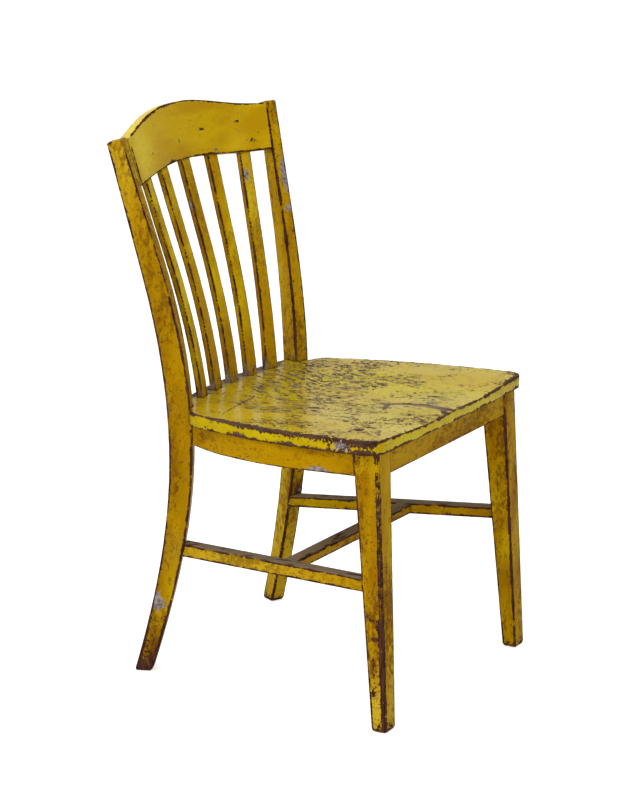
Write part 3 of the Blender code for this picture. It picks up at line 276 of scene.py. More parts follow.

# Worn places, and places of painted light: the figure that they raise or lower, centre, reach each way, and by
# how much
WEAR_AND_LIGHT_PLACES = (
    # Seat: bare wood and chips on its right edge and its right front corner
    ("wear", (-0.236, -0.060, 0.438), (0.020, 0.150, 0.020), 0.45),
    ("wear", (-0.243, -0.205, 0.436), (0.020, 0.045, 0.025), 0.8),
    ("chips", (-0.243, -0.232, 0.434), (0.020, 0.014, 0.014), 0.75),
    ("chips", (-0.229, -0.002, 0.417), (0.008, 0.012, 0.005), 1.0),
    ("chips", (-0.214, 0.058, 0.414), (0.010, 0.009, 0.004), 0.8),
    ("chips", (-0.238, -0.080, 0.432), (0.010, 0.060, 0.005), 0.45),
    ("primer", (-0.245, -0.192, 0.433), (0.010, 0.014, 0.010), 1.35),
    # Seat: whole paint along its lower arris, a thin line along the front one, and the left front corner
    ("wear", (0.000, 0.000, 0.404), (0.400, 0.400, 0.009), -0.40),
    ("wear", (0.000, -0.262, 0.438), (0.200, 0.022, 0.015), -0.12),
    ("wear", (0.222, -0.240, 0.440), (0.025, 0.020, 0.020), 0.8),
    ("chips", (0.236, -0.238, 0.436), (0.014, 0.012, 0.012), 0.9),
    # Seat: the bare, dusty strip at the feet of the slats, and dust in the dish
    ("chips", (0.000, 0.152, 0.427), (0.080, 0.016, 0.020), 1.3),
    ("chips", (-0.110, 0.143, 0.427), (0.060, 0.016, 0.020), 1.2),
    ("chips", (0.110, 0.143, 0.427), (0.060, 0.016, 0.020), 1.3),
    ("dust", (0.000, 0.143, 0.427), (0.220, 0.022, 0.020), 1.0),
    ("dust", (0.000, -0.195, 0.440), (0.030, 0.060, 0.020), 1.0),
    ("dust", (0.020, -0.020, 0.430), (0.220, 0.200, 0.030), 0.75),
    # Seat: more and less flaking, then its large flakes
    ("flaked", (0.070, 0.030, 0.427), (0.095, 0.080, 0.030), 0.65),
    ("flaked", (-0.020, -0.040, 0.427), (0.060, 0.045, 0.030), 0.50),
    ("flaked", (0.020, 0.060, 0.427), (0.120, 0.050, 0.030), 0.25),
    ("flaked", (-0.130, -0.190, 0.430), (0.070, 0.060, 0.030), 0.30),
    ("flaked", (-0.160, 0.100, 0.427), (0.080, 0.060, 0.030), -0.45),
    ("flaked", (0.150, -0.190, 0.440), (0.090, 0.070, 0.030), -0.30),
    ("chips", (0.0865, 0.0501, 0.427), (0.010, 0.013, 0.02), 0.8),
    ("chips", (0.0963, -0.0349, 0.427), (0.012, 0.012, 0.02), 0.9),
    ("chips", (0.0650, 0.0016, 0.427), (0.010, 0.018, 0.02), 0.9),
    ("chips", (0.1074, -0.0017, 0.427), (0.010, 0.012, 0.02), 0.8),
    ("chips", (0.0627, -0.0391, 0.427), (0.009, 0.014, 0.02), 0.9),
    ("chips", (-0.0201, -0.0321, 0.427), (0.009, 0.016, 0.02), 0.9),
    ("chips", (-0.1466, -0.1763, 0.430), (0.009, 0.012, 0.02), 0.5),
    # Seat: grime before the slats, and its bleached front edge with small chips
    ("grime_and_shade", (0.000, 0.100, 0.427), (0.260, 0.045, 0.030), 0.30),
    ("faded_and_lit", (0.000, -0.262, 0.424), (0.280, 0.022, 0.018), 0.4),
    ("chips", (-0.0465, -0.2600, 0.416), (0.004, 0.010, 0.003), 1.1),
    ("chips", (0.0250, -0.2600, 0.415), (0.003, 0.010, 0.003), 1.2),
    ("chips", (0.0800, -0.2600, 0.417), (0.005, 0.010, 0.003), 1.1),
    ("chips", (0.1300, -0.2600, 0.418), (0.003, 0.010, 0.003), 1.1),
    ("chips", (0.1650, -0.2600, 0.419), (0.008, 0.010, 0.003), 1.0),
    ("chips", (-0.1500, -0.2600, 0.418), (0.003, 0.010, 0.002), 1.2),
    ("chips", (-0.2050, -0.2600, 0.425), (0.003, 0.010, 0.005), 1.2),
    # Crest rail: paler at its right end, a painted highlight of light glancing off its curve, then small chips
    # and primer on its face
    ("faded_and_lit", (-0.155, 0.214, 0.800), (0.070, 0.040, 0.070), 0.75),
    ("chips", (0.056, 0.239, 0.808), (0.006, 0.008, 0.003), 1.3),
    ("chips", (-0.010, 0.239, 0.799), (0.0025, 0.008, 0.005), 1.5),
    ("chips", (0.135, 0.224, 0.812), (0.006, 0.006, 0.004), 0.95),
    ("chips", (0.157, 0.207, 0.780), (0.005, 0.006, 0.006), 1.1),
    ("chips", (0.172, 0.205, 0.790), (0.002, 0.006, 0.002), 1.1),
    ("chips", (0.032, 0.246, 0.825), (0.007, 0.006, 0.002), 0.8),
    ("chips", (-0.105, 0.226, 0.794), (0.003, 0.008, 0.005), 1.2),
    ("chips", (-0.040, 0.230, 0.774), (0.012, 0.008, 0.004), 1.0),
    ("primer", (0.078, 0.226, 0.775), (0.005, 0.006, 0.003), 0.9),
    # Left rear post: primer and chips on its front face, and paler paint below the seat, painted light where
    # the seat shades it
    ("primer", (0.213, 0.176, 0.736), (0.012, 0.018, 0.015), 1.3),
    ("primer", (0.206, 0.170, 0.715), (0.012, 0.016, 0.013), 1.3),
    ("primer", (0.207, 0.164, 0.695), (0.006, 0.014, 0.014), 1.1),
    ("primer", (0.198, 0.159, 0.668), (0.009, 0.014, 0.008), 0.9),
    ("chips", (0.212, 0.160, 0.690), (0.006, 0.012, 0.016), 0.5),
    ("chips", (0.194, 0.147, 0.633), (0.006, 0.008, 0.003), 1.1),
    ("chips", (0.194, 0.192, 0.724), (0.010, 0.018, 0.060), 0.35),
    ("chips", (0.196, 0.148, 0.650), (0.010, 0.010, 0.014), 0.6),
    ("chips", (0.176, 0.150, 0.625), (0.010, 0.014, 0.020), 0.5),
    # Painted light below the seat
    ("faded_and_lit", (0.197, 0.165, 0.250), (0.030, 0.050, 0.200), 0.9),
    # Right rear post: browned by hands and dirt, and bare at its foot
    ("grime_and_shade", (-0.200, 0.165, 0.330), (0.040, 0.060, 0.170), 0.70),
    ("grime_and_shade", (-0.212, 0.185, 0.600), (0.040, 0.060, 0.110), 0.30),
    ("grime_and_shade", (-0.212, 0.190, 0.500), (0.030, 0.100, 0.450), 0.22),
    ("grime_and_shade", (-0.200, 0.165, 0.030), (0.030, 0.060, 0.050), 0.8),
    ("wear", (-0.200, 0.165, 0.030), (0.030, 0.060, 0.050), 0.35),
    ("chips", (-0.200, 0.175, 0.020), (0.030, 0.030, 0.022), 0.85),
    # Left rear post: chips below the seat
    ("chips", (0.1975, 0.165, 0.340), (0.010, 0.020, 0.030), 0.35),
    # Right front leg and right apron: browned
    ("grime_and_shade", (-0.232, -0.240, 0.300), (0.030, 0.040, 0.120), 0.40),
    ("grime_and_shade", (-0.235, 0.000, 0.400), (0.030, 0.200, 0.040), 0.15),
    # Left rear post: darkened, flaking paint round the repair bolt
    ("grime_and_shade", BOLT_PLACE, (0.016, 0.020, 0.020), 1.2),
    ("chips", BOLT_PLACE, (0.010, 0.012, 0.010), 1.0),
    # Left front leg: browned in the middle and near its foot
    ("grime_and_shade", (0.214, -0.245, 0.300), (0.040, 0.040, 0.140), 0.10),
    ("grime_and_shade", (0.214, -0.245, 0.120), (0.040, 0.040, 0.030), 0.5),
    # Right front foot, right side stretcher and slat 5: bleached
    ("faded_and_lit", (-0.236, -0.257, 0.040), (0.030, 0.030, 0.045), 0.4),
    ("faded_and_lit", (-0.195, 0.000, 0.200), (0.030, 0.200, 0.030), 0.35),
    ("faded_and_lit", (0.132, 0.200, 0.650), (0.020, 0.040, 0.150), 0.3),
    # Slats 5, 3 and 2: primer and bare wood below the crest rail
    ("primer", (0.132, 0.200, 0.728), (0.006, 0.010, 0.012), 0.9),
    ("primer", (-0.012, 0.210, 0.700), (0.003, 0.010, 0.008), 0.9),
    ("chips", (-0.083, 0.215, 0.735), (0.006, 0.012, 0.012), 0.8),
    # Right front leg: a wide bare arris, and chips lower down
    ("wear", (-0.234, -0.262, 0.100), (0.012, 0.016, 0.090), 0.24),
    ("wear", (-0.236, -0.225, 0.400), (0.012, 0.010, 0.035), -0.15),
    ("chips", (-0.234, -0.252, 0.150), (0.012, 0.016, 0.045), 0.42),
    ("chips", (-0.235, -0.258, 0.060), (0.012, 0.018, 0.050), 0.48),
    ("chips", (-0.2355, -0.244, 0.171), (0.008, 0.006, 0.003), 1.2),
    ("chips", (-0.2355, -0.236, 0.178), (0.008, 0.003, 0.004), 1.2),
    ("chips", (-0.2355, -0.250, 0.143), (0.008, 0.005, 0.004), 1.3),
    ("chips", (-0.2355, -0.253, 0.165), (0.008, 0.003, 0.008), 1.0),
    ("chips", (-0.2355, -0.250, 0.105), (0.008, 0.003, 0.007), 1.1),
    ("chips", (-0.2355, -0.252, 0.060), (0.008, 0.005, 0.006), 1.0),
    ("chips", (-0.2340, -0.240, 0.040), (0.008, 0.005, 0.010), 0.9),
    ("chips", (-0.225, -0.268, 0.222), (0.004, 0.008, 0.006), 1.2),
    ("chips", (-0.205, -0.268, 0.290), (0.003, 0.008, 0.003), 1.0),
    ("chips", (-0.215, -0.268, 0.010), (0.030, 0.030, 0.010), 0.9),
    # Tops of the rear posts: whole paint, but for the right one's outer corner
    ("wear", (-0.219, 0.214, 0.834), (0.030, 0.030, 0.012), -0.42),
    ("wear", (0.219, 0.214, 0.834), (0.030, 0.030, 0.012), -0.42),
    ("chips", (-0.234, 0.220, 0.832), (0.007, 0.007, 0.008), 1.0),
    # Left front foot, both rear feet, and primer above the right one
    ("chips", (0.220, -0.268, 0.008), (0.030, 0.030, 0.008), 0.9),
    ("chips", (0.198, 0.173, 0.008), (0.030, 0.030, 0.010), 0.9),
    ("chips", (-0.198, 0.173, 0.008), (0.030, 0.030, 0.012), 0.9),
    ("chips", (-0.203, 0.160, 0.045), (0.014, 0.020, 0.030), 0.40),
    ("primer", (-0.199, 0.158, 0.122), (0.014, 0.016, 0.013), 1.1),
    ("primer", (-0.199, 0.146, 0.110), (0.014, 0.012, 0.010), 0.9),
    # Right apron: primer on its lower edge
    ("primer", (-0.230, -0.146, 0.386), (0.010, 0.020, 0.004), 1.2),
    # Left side stretcher: a worn place in the middle
    ("chips", (0.196, -0.143, 0.214), (0.010, 0.008, 0.012), 0.6),
)


def place_figures(piece, kind, facing):
    """Worn places, and more of a figure on the faces that look along one axis, or up."""
    points = read_points(piece, "co")
    normals = read_points(piece, "normal")
    figures = np.zeros(len(points), np.float32)
    for figure, axis, amount in facing:
        if figure == kind:
            turned = normals[:, UP] if axis == UP else np.abs(normals[:, axis])
            figures += amount * np.clip(turned, 0.0, 1.0) ** TURN_POWER
    for figure, centre, reach, amount in WEAR_AND_LIGHT_PLACES:
        if figure == kind:
            offset = (points - np.array(centre, np.float32)) / np.array(reach, np.float32)
            figures += amount * np.exp(-(offset ** 2).sum(axis=1))
    return figures


def rub_down(piece, arris):
    """Rub the arrises unevenly and leave the faces slightly wavy, always inwards."""
    group = piece.vertex_groups.new(name="rubbed")
    weights = np.exp(-(np.asarray(arris) / RUB_REACH) ** 2)
    for level in range(1, RUB_LEVELS + 1):
        share = level / RUB_LEVELS
        chosen = np.nonzero(np.abs(weights - share) <= 0.5 / RUB_LEVELS)[0]
        group.add(chosen.tolist(), share, "REPLACE")
    for name, depth, size, only in (("nicks", RUB_DEPTH, RUB_SIZE, "rubbed"),
                                    ("waves", WAVE_DEPTH, WAVE_SIZE, "")):
        texture = bpy.data.textures.new(name, "CLOUDS")
        texture.noise_scale = size
        texture.noise_depth = 2
        apply_modifier(piece, "DISPLACE", texture=texture, texture_coords="LOCAL", strength=depth,
                       mid_level=1.0, vertex_group=only)
    piece.vertex_groups.clear()


def worn_piece(node, grid, material, facing=()):
    """Stand a fine, rubbed-down copy in the place of a wooden CAD solid."""
    neighbours = neighbour_tree(node)
    piece = merged_copy(node, "painted_" + node)
    arrises = arris_tree(piece, neighbours)
    apply_modifier(piece, "REMESH", mode="VOXEL", voxel_size=grid)
    apply_modifier(piece, "SMOOTH", factor=SMOOTH_FACTOR, iterations=1)
    apply_modifier(piece, "SHRINKWRAP", target=nodes[node], wrap_method="NEAREST_SURFACEPOINT")
    rub_down(piece, arris_distances(piece, arrises))
    # No point lies right on an arris, so a third of a square counts as on it
    from_arris = [max(value - grid / 3, 0.0) for value in arris_distances(piece, arrises)]
    write_figures(piece, "arris", [MILLIMETRES * value for value in from_arris])
    write_figures(piece, "joint", [MILLIMETRES * value for value in joint_distances(piece, neighbours)])
    for kind in FIGURES:
        write_figures(piece, kind, place_figures(piece, kind, facing))
    piece.data.materials.clear()
    piece.data.materials.append(material)
    select_only(piece)
    bpy.ops.object.shade_smooth()
    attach(piece, "root")
    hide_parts(node)


# Shader work


class Finish:
    """One material's nodes, added and wired up a step at a time."""

    def __init__(self, name):
        self.material = bpy.data.materials.new(name)
        self.material.use_nodes = True
        self.tree = self.material.node_tree
        self.shader = self.tree.nodes["Principled BSDF"]
        coordinates = self.tree.nodes.new("ShaderNodeTexCoord")
        self.place = coordinates.outputs["Object"]

    def feed(self, socket, value):
        """Link a socket to another one, or set it to a colour, a vector or a number."""
        if isinstance(value, bpy.types.NodeSocket):
            self.tree.links.new(value, socket)
        elif isinstance(value, tuple) and len(value) == 3 and socket.type == "RGBA":
            socket.default_value = (*value, 1.0)
        else:
            socket.default_value = value

    def figure(self, name):
        node = self.tree.nodes.new("ShaderNodeAttribute")
        node.attribute_name = name
        return node.outputs["Fac"]

    def maths(self, operation, first, second=0.0):
        node = self.tree.nodes.new("ShaderNodeMath")
        node.operation = operation
        self.feed(node.inputs[0], first)
        self.feed(node.inputs[1], second)
        return node.outputs[0]

    def add(self, *values):
        total = values[0]
        for value in values[1:]:
            total = self.maths("ADD", total, value)
        return total

    def less(self, first, second):
        return self.maths("SUBTRACT", first, second)

    def times(self, first, second):
        return self.maths("MULTIPLY", first, second)

    def most(self, first, second):
        return self.maths("MAXIMUM", first, second)

    def least(self, first, second):
        return self.maths("MINIMUM", first, second)

    def centred(self, value):
        """A pattern's value, from -0.5 to 0.5 in place of 0 to 1."""
        return self.less(value, 0.5)

    def spread(self, value, low, high, start=0.0, end=1.0):
        """A smooth step from start to end, while the value goes from low to high."""
        node = self.tree.nodes.new("ShaderNodeMapRange")
        node.interpolation_type = "SMOOTHSTEP"
        for socket, number in zip(node.inputs, (value, low, high, start, end)):
            self.feed(socket, number)
        return node.outputs[0]

    def vector(self, operation, first, second=(0.0, 0.0, 0.0), output=0):
        node = self.tree.nodes.new("ShaderNodeVectorMath")
        node.operation = operation
        self.feed(node.inputs[0], first)
        if operation != "LENGTH":
            self.feed(node.inputs[1], second)
        return node.outputs[output]

    def drawn_out(self, along, squeeze, shift=(0.0, 0.0, 0.0), turn=(0.0, 0.0, 0.0)):
        """The place, squeezed along one axis, so that a pattern on it is drawn out that way."""
        node = self.tree.nodes.new("ShaderNodeMapping")
        self.feed(node.inputs["Vector"], self.place)
        node.inputs["Location"].default_value = shift
        node.inputs["Rotation"].default_value = turn
        scales = tuple(squeeze if axis == along else 1.0 for axis in (ACROSS, ALONG, UP))
        node.inputs["Scale"].default_value = scales
        return node.outputs[0]

    def noise(self, where, scale, detail=4.0, roughness=0.55, distortion=0.0, output="Fac"):
        node = self.tree.nodes.new("ShaderNodeTexNoise")
        self.feed(node.inputs["Vector"], where)
        node.inputs["Scale"].default_value = scale
        node.inputs["Detail"].default_value = detail
        node.inputs["Roughness"].default_value = roughness
        node.inputs["Distortion"].default_value = distortion
        return node.outputs[output]

    def mix(self, share, first, second):
        """The first colour where the share is 0, and the second where it is 1."""
        node = self.tree.nodes.new("ShaderNodeMix")
        node.data_type = "RGBA"
        # A Mix node's colour sockets come after those for numbers and vectors
        self.feed(node.inputs[0], share)
        self.feed(node.inputs[6], first)
        self.feed(node.inputs[7], second)
        return node.outputs[2]

    def bump(self, height, distance, strength, under=None):
        node = self.tree.nodes.new("ShaderNodeBump")
        node.inputs["Distance"].default_value = distance
        node.inputs["Strength"].default_value = strength
        self.feed(node.inputs["Height"], height)
        if under is not None:
            self.feed(node.inputs["Normal"], under)
        return node.outputs[0]

    def height_of_normal(self):
        """One on a face that looks up, and nought on an upright one."""
        geometry = self.tree.nodes.new("ShaderNodeNewGeometry")
        parts = self.tree.nodes.new("ShaderNodeSeparateXYZ")
        self.feed(parts.inputs[0], geometry.outputs["Normal"])
        return parts.outputs[UP]

    def wandering_plan(self, wobble):
        """The place in plan, pushed about a little, so that lines through it wander."""
        flat = self.vector("MULTIPLY", self.place, (1.0, 1.0, 0.0))
        drift = self.noise(self.place, 70.0, detail=3.0, output="Color")
        push = self.vector("MULTIPLY", drift, (wobble, wobble, 0.0))
        centred = self.vector("SUBTRACT", push, (wobble / 2, wobble / 2, 0.0))
        return self.vector("ADD", flat, centred)

    def segment(self, plan, start, end):
        """Distance in metres, in plan, from the line between two points."""
        start, end = Vector((*start, 0.0)), Vector((*end, 0.0))
        way = end - start
        offset = self.vector("SUBTRACT", plan, tuple(start))
        share = self.vector("DOT_PRODUCT", offset, tuple(way), output=1)
        share = self.times(share, 1.0 / way.length_squared)
        share = self.least(self.most(share, 0.0), 1.0)
        scaled = self.tree.nodes.new("ShaderNodeVectorMath")
        scaled.operation = "SCALE"
        scaled.inputs[0].default_value = tuple(way)
        self.feed(scaled.inputs["Scale"], share)
        return self.vector("LENGTH", self.vector("SUBTRACT", offset, scaled.outputs[0]), output=1)


# The yellow paint, a layer at a time


def arris_loss(finish, thin_arris, worn_arris):
    """Paint lost in a ragged band along the arrises, and in the chips that are placed."""
    wear = finish.figure("wear")
    ragged = finish.noise(finish.place, 165.0, detail=6.0, roughness=0.62, distortion=0.4)
    crumbs = finish.noise(finish.place, 520.0, detail=3.0, roughness=0.6)
    uneven = finish.noise(finish.place, 38.0, roughness=0.62)
    thin_line = finish.times(finish.spread(uneven, 0.36, 0.64, start=0.35, end=1.9), thin_arris)
    band = finish.most(finish.add(finish.times(wear, worn_arris - thin_arris), thin_line), LEAST_BAND)
    raggedness = finish.add(finish.times(finish.most(wear, 0.0), 1.8), 1.9)
    edge = finish.most(finish.less(1.0, finish.maths("DIVIDE", finish.figure("arris"), band)), 0.0)
    return finish.add(finish.times(edge, 0.95), finish.times(finish.centred(ragged), raggedness),
                      finish.times(finish.centred(crumbs), 0.5), finish.times(finish.figure("chips"), 0.55))


def flake_loss(finish, along, upward, lines):
    """Paint lost on top of the seat in short flakes, along cracks, and along the lines that are placed."""
    patches = finish.spread(finish.noise(finish.place, 14.0, detail=3.0), 0.36, 0.64, start=0.16, end=0.82)
    patches = finish.add(patches, finish.figure("flaked"))
    short_drawn = finish.drawn_out(along, FLAKE_GRAIN, turn=FLAKE_TURN)
    flakes = finish.noise(short_drawn, 125.0, detail=6.0, roughness=0.66, distortion=1.2)
    veins = finish.noise(short_drawn, 60.0, detail=5.0, roughness=0.62, distortion=1.5)
    cracks = finish.spread(finish.maths("ABSOLUTE", finish.centred(veins)), 0.012, 0.003, end=0.9)
    flaked = finish.most(finish.spread(flakes, 0.50, 0.56), cracks)
    loss = finish.times(upward, finish.times(patches, flaked))
    plan = finish.wandering_plan(LINE_WOBBLE)
    for start, end, width, amount in lines:
        worn_line = finish.spread(finish.segment(plan, start, end), width, 0.3 * width, end=amount)
        loss = finish.add(loss, finish.times(upward, worn_line))
    return loss


def speck_loss(finish, specks):
    """Paint lost in small specks, which lie in fields."""
    fields = finish.spread(finish.noise(finish.place, 24.0, detail=2.0), 0.40, 0.60)
    dots = finish.spread(finish.noise(finish.place, 330.0, detail=1.5, roughness=0.5), 0.64, 0.70)
    return finish.times(finish.times(dots, fields), specks)


def paint_colour(finish, drawn, ochre, lemon, yellow):
    """The paint's colour: lemon and yellow, smeared with ochre, paler where faded and browned where dirty; the
    same paler and browned mixes also paint light, a highlight and shade in a few places.
    """
    tone = finish.noise(drawn, 13.0, detail=3.0, roughness=0.6)
    colour = finish.mix(finish.spread(tone, 0.40 + 0.10 * ochre, 0.62 + 0.10 * ochre), yellow, lemon)
    smears = finish.noise(drawn, 30.0, roughness=0.62)
    smears = finish.spread(smears, 0.66 - 0.2 * ochre, 0.84 - 0.2 * ochre, end=0.9)
    colour = finish.mix(finish.times(smears, ochre), colour, OCHRE)
    # Paler where faded; the same mix paints light below the seat and a highlight on the crest rail
    colour = finish.mix(finish.least(finish.figure("faded_and_lit"), 0.9), colour, FADED_AND_LIT)
    # Browned by dirt; the same mix paints shade on the slats' side faces
    clouds = finish.noise(drawn, 48.0, detail=5.0, roughness=0.62)
    clouds = finish.spread(clouds, 0.25, 0.62, start=0.3, end=1.3)
    browned_and_shaded = finish.least(finish.times(finish.figure("grime_and_shade"), clouds), 1.0)
    return finish.mix(browned_and_shaded, colour, BROWN_DIRT_AND_SHADE)


def dirt_and_shadow_colour(finish, colour, fine_drawn, ochre, stained, rim_shadow):
    """The paint with its stains and streaks, a painted shadow along the raised rim of the paint round each
    chip, and the grime in the joints.
    """
    colour = finish.mix(stained, colour, STAIN)
    streaks = finish.noise(fine_drawn, 420.0, detail=3.0)
    colour = finish.mix(finish.spread(streaks, 0.48, 0.72, end=0.05 + 0.25 * ochre), colour, OCHRE)
    # Painted shadow along the raised edge of the paint round each chip
    colour = finish.mix(finish.times(rim_shadow, 0.6), colour, STAIN)
    uneven = finish.times(finish.noise(finish.place, 140.0, detail=3.0), 5.0)
    dirty = finish.spread(finish.add(finish.figure("joint"), uneven), 5.2, 2.0, end=0.6)
    return finish.mix(dirty, colour, GRIME)


def primer_share(finish):
    """Where grey primer shows, because the paint came off whole."""
    ragged = finish.centred(finish.noise(finish.place, 110.0, detail=5.0, roughness=0.65))
    return finish.spread(finish.add(finish.figure("primer"), finish.times(ragged, 2.6)), 0.52, 0.56)


def yellow_paint(name, along, thin_arris, worn_arris, ochre, stain, specks, gloss, shine,
                 lemon=LEMON, yellow=YELLOW, flaking=False, lines=()):
    """Old gloss paint over wood: stained, speckled, chipped, and gone along the arrises.

    The grain and the patterns run along one axis. The bare wood on an arris is thin_arris wide where
    it is least worn and worn_arris where it is most worn, in millimetres. Ochre, stain and specks go
    from 0 to 1, gloss is the least roughness, and shine is the specular level. Flaking is for a seat.
    """
    finish = Finish(name)
    drawn = finish.drawn_out(along, GRAIN)
    fine_drawn = finish.drawn_out(along, FINE_GRAIN)
    upward = finish.spread(finish.height_of_normal(), 0.3, 0.8) if flaking else None

    # Where the paint is gone
    loss = arris_loss(finish, thin_arris, worn_arris)
    if flaking:
        loss = finish.add(loss, flake_loss(finish, along, upward, lines))
    loss = finish.add(loss, speck_loss(finish, specks))
    bare = finish.spread(loss, PAINT_HOLDS, PAINT_GONE)
    # Where the paint's raised edge round a chip gets a painted shadow
    rim_shadow = finish.spread(loss, RIM_STARTS, PAINT_HOLDS)

    # Paint, stained in blotches
    blotches = finish.noise(finish.drawn_out(along, BLOTCH_GRAIN, BLOTCH_SHIFT), 150.0, detail=5.0,
                            roughness=0.68, distortion=0.4)
    blotched = finish.add(blotches, finish.times(finish.noise(drawn, 22.0, detail=3.0), 0.7))
    stained = finish.times(finish.spread(blotched, 0.81, 1.02), stain)
    paint = paint_colour(finish, drawn, ochre, lemon, yellow)
    paint = dirt_and_shadow_colour(finish, paint, fine_drawn, ochre, stained, rim_shadow)

    # Grey primer
    primed = primer_share(finish)
    primer_tone = finish.spread(finish.noise(finish.place, 160.0, detail=3.0), 0.4, 0.6)
    paint = finish.mix(primed, paint, finish.mix(primer_tone, PRIMER, PRIMER_DARK))

    # Bare wood, dark and reddish, and dust on both
    grain = finish.noise(fine_drawn, 260.0, roughness=0.6, distortion=0.4)
    wood = finish.mix(finish.spread(grain, 0.35, 0.65), WOOD_DARK, WOOD_RED)
    dust_clouds = finish.spread(finish.noise(drawn, 90.0, roughness=0.6), 0.30, 0.62)
    dust = finish.times(finish.figure("dust"), dust_clouds)
    wood = finish.mix(finish.least(dust, 1.0), wood, WOOD_DUSTY)
    paint = finish.mix(finish.spread(dust, 0.85, 1.6, end=0.5), paint, WOOD_DUSTY)
    finish.feed(finish.shader.inputs["Base Color"], finish.mix(bare, paint, wood))

    # Sheen
    sheen = finish.noise(drawn, 45.0, roughness=0.6)
    sheen = finish.spread(sheen, 0.3, 0.75, start=gloss, end=gloss + 0.16)
    sheen = finish.add(sheen, finish.times(stained, 0.22), finish.times(primed, 0.3))
    finish.feed(finish.shader.inputs["Roughness"], finish.most(sheen, finish.times(bare, 0.72)))
    finish.shader.inputs["Specular IOR Level"].default_value = shine
    tinge = finish.mix(upward, TINGE, NO_TINGE) if flaking else TINGE
    finish.feed(finish.shader.inputs["Specular Tint"], tinge)

    # Relief: the paint's own thickness, the grain, brush waves and blisters
    relief = finish.bump(finish.less(1.0, bare), 0.0004, 0.9)
    relief = finish.bump(grain, 0.0006, 0.18, relief)
    relief = finish.bump(finish.noise(drawn, 26.0, detail=2.0), 0.0035, 0.16, relief)
    relief = finish.bump(blotches, 0.0006, 0.16, relief)
    finish.feed(finish.shader.inputs["Normal"], relief)
    return finish.material


# Unpainted wood and steel


def aged_wood(name, along):
    """Unpainted wood under the seat."""
    finish = Finish(name)
    drawn = finish.drawn_out(along, BLOCK_GRAIN)
    grain = finish.noise(drawn, 300.0, detail=5.0, roughness=0.6, distortion=0.5)
    broad = finish.noise(finish.drawn_out(along, GRAIN), 40.0, detail=3.0)
    wood = finish.mix(finish.spread(grain, 0.35, 0.65), BLOCK_DARK, BLOCK_PALE)
    wood = finish.mix(finish.spread(broad, 0.4, 0.7, end=0.6), wood, WOOD_RED)
    finish.feed(finish.shader.inputs["Base Color"], wood)
    finish.feed(finish.shader.inputs["Roughness"], finish.spread(grain, 0.3, 0.7, start=0.62, end=0.85))
    finish.feed(finish.shader.inputs["Normal"], finish.bump(grain, 0.0008, 0.35))
    return finish.material


def rusted_steel(name, rust, steel):
    """Steel under brown rust, rough where the rust is thick."""
    finish = Finish(name)
    patches = finish.noise(finish.place, 420.0, detail=5.0, roughness=0.65)
    pits = finish.noise(finish.place, 1500.0, detail=3.0, roughness=0.6)
    rusty = finish.spread(patches, 0.36, 0.56)
    colour = finish.mix(finish.spread(pits, 0.3, 0.7), rust, RUST_DEEP)
    finish.feed(finish.shader.inputs["Base Color"], finish.mix(rusty, steel, colour))
    finish.feed(finish.shader.inputs["Metallic"], finish.less(0.85, finish.times(rusty, 0.75)))
    finish.feed(finish.shader.inputs["Roughness"], finish.spread(rusty, 0.0, 1.0, start=0.45, end=0.85))
    finish.feed(finish.shader.inputs["Normal"], finish.bump(finish.add(patches, pits), 0.0003, 0.5))
    return finish.material


# The chair's finishes and pieces

# What faces that look one way have more of: the figure, the axis and how much
BARE_TOP = (("chips", UP, 2.0), ("dust", UP, 2.2))
# The crest rail's top faces are paler
PALER_TOP = (("faded_and_lit", UP, 1.0),)
# Painted shade: the slats' side faces, which face each other, are browned
SHADED_SIDES = (("grime_and_shade", ACROSS, 0.65),)

# Worn lines on the seat, in plan: start, end, width and how much paint they cost
SEAT_LINES = (
    # A long scar that bends towards the front edge, and forks there
    ((-0.0271, -0.1458), (-0.0010, -0.1371), 0.0065, 0.7),
    ((-0.0010, -0.1371), (0.0060, -0.1648), 0.0100, 0.8),
    ((0.0060, -0.1648), (0.0030, -0.1974), 0.0100, 0.8),
    ((0.0030, -0.1974), (-0.0060, -0.2283), 0.0100, 0.8),
    ((-0.0060, -0.2283), (-0.0100, -0.2540), 0.0100, 0.8),
    ((-0.0060, -0.2300), (-0.0314, -0.2530), 0.0060, 0.7),
    # A fine crack near the right rear corner
    ((-0.1888, 0.0455), (-0.1181, 0.0565), 0.0016, 0.6),
    ((-0.1181, 0.0565), (-0.0608, 0.0639), 0.0024, 0.7),
    ((-0.0608, 0.0639), (-0.0409, 0.0595), 0.0018, 0.6),
)


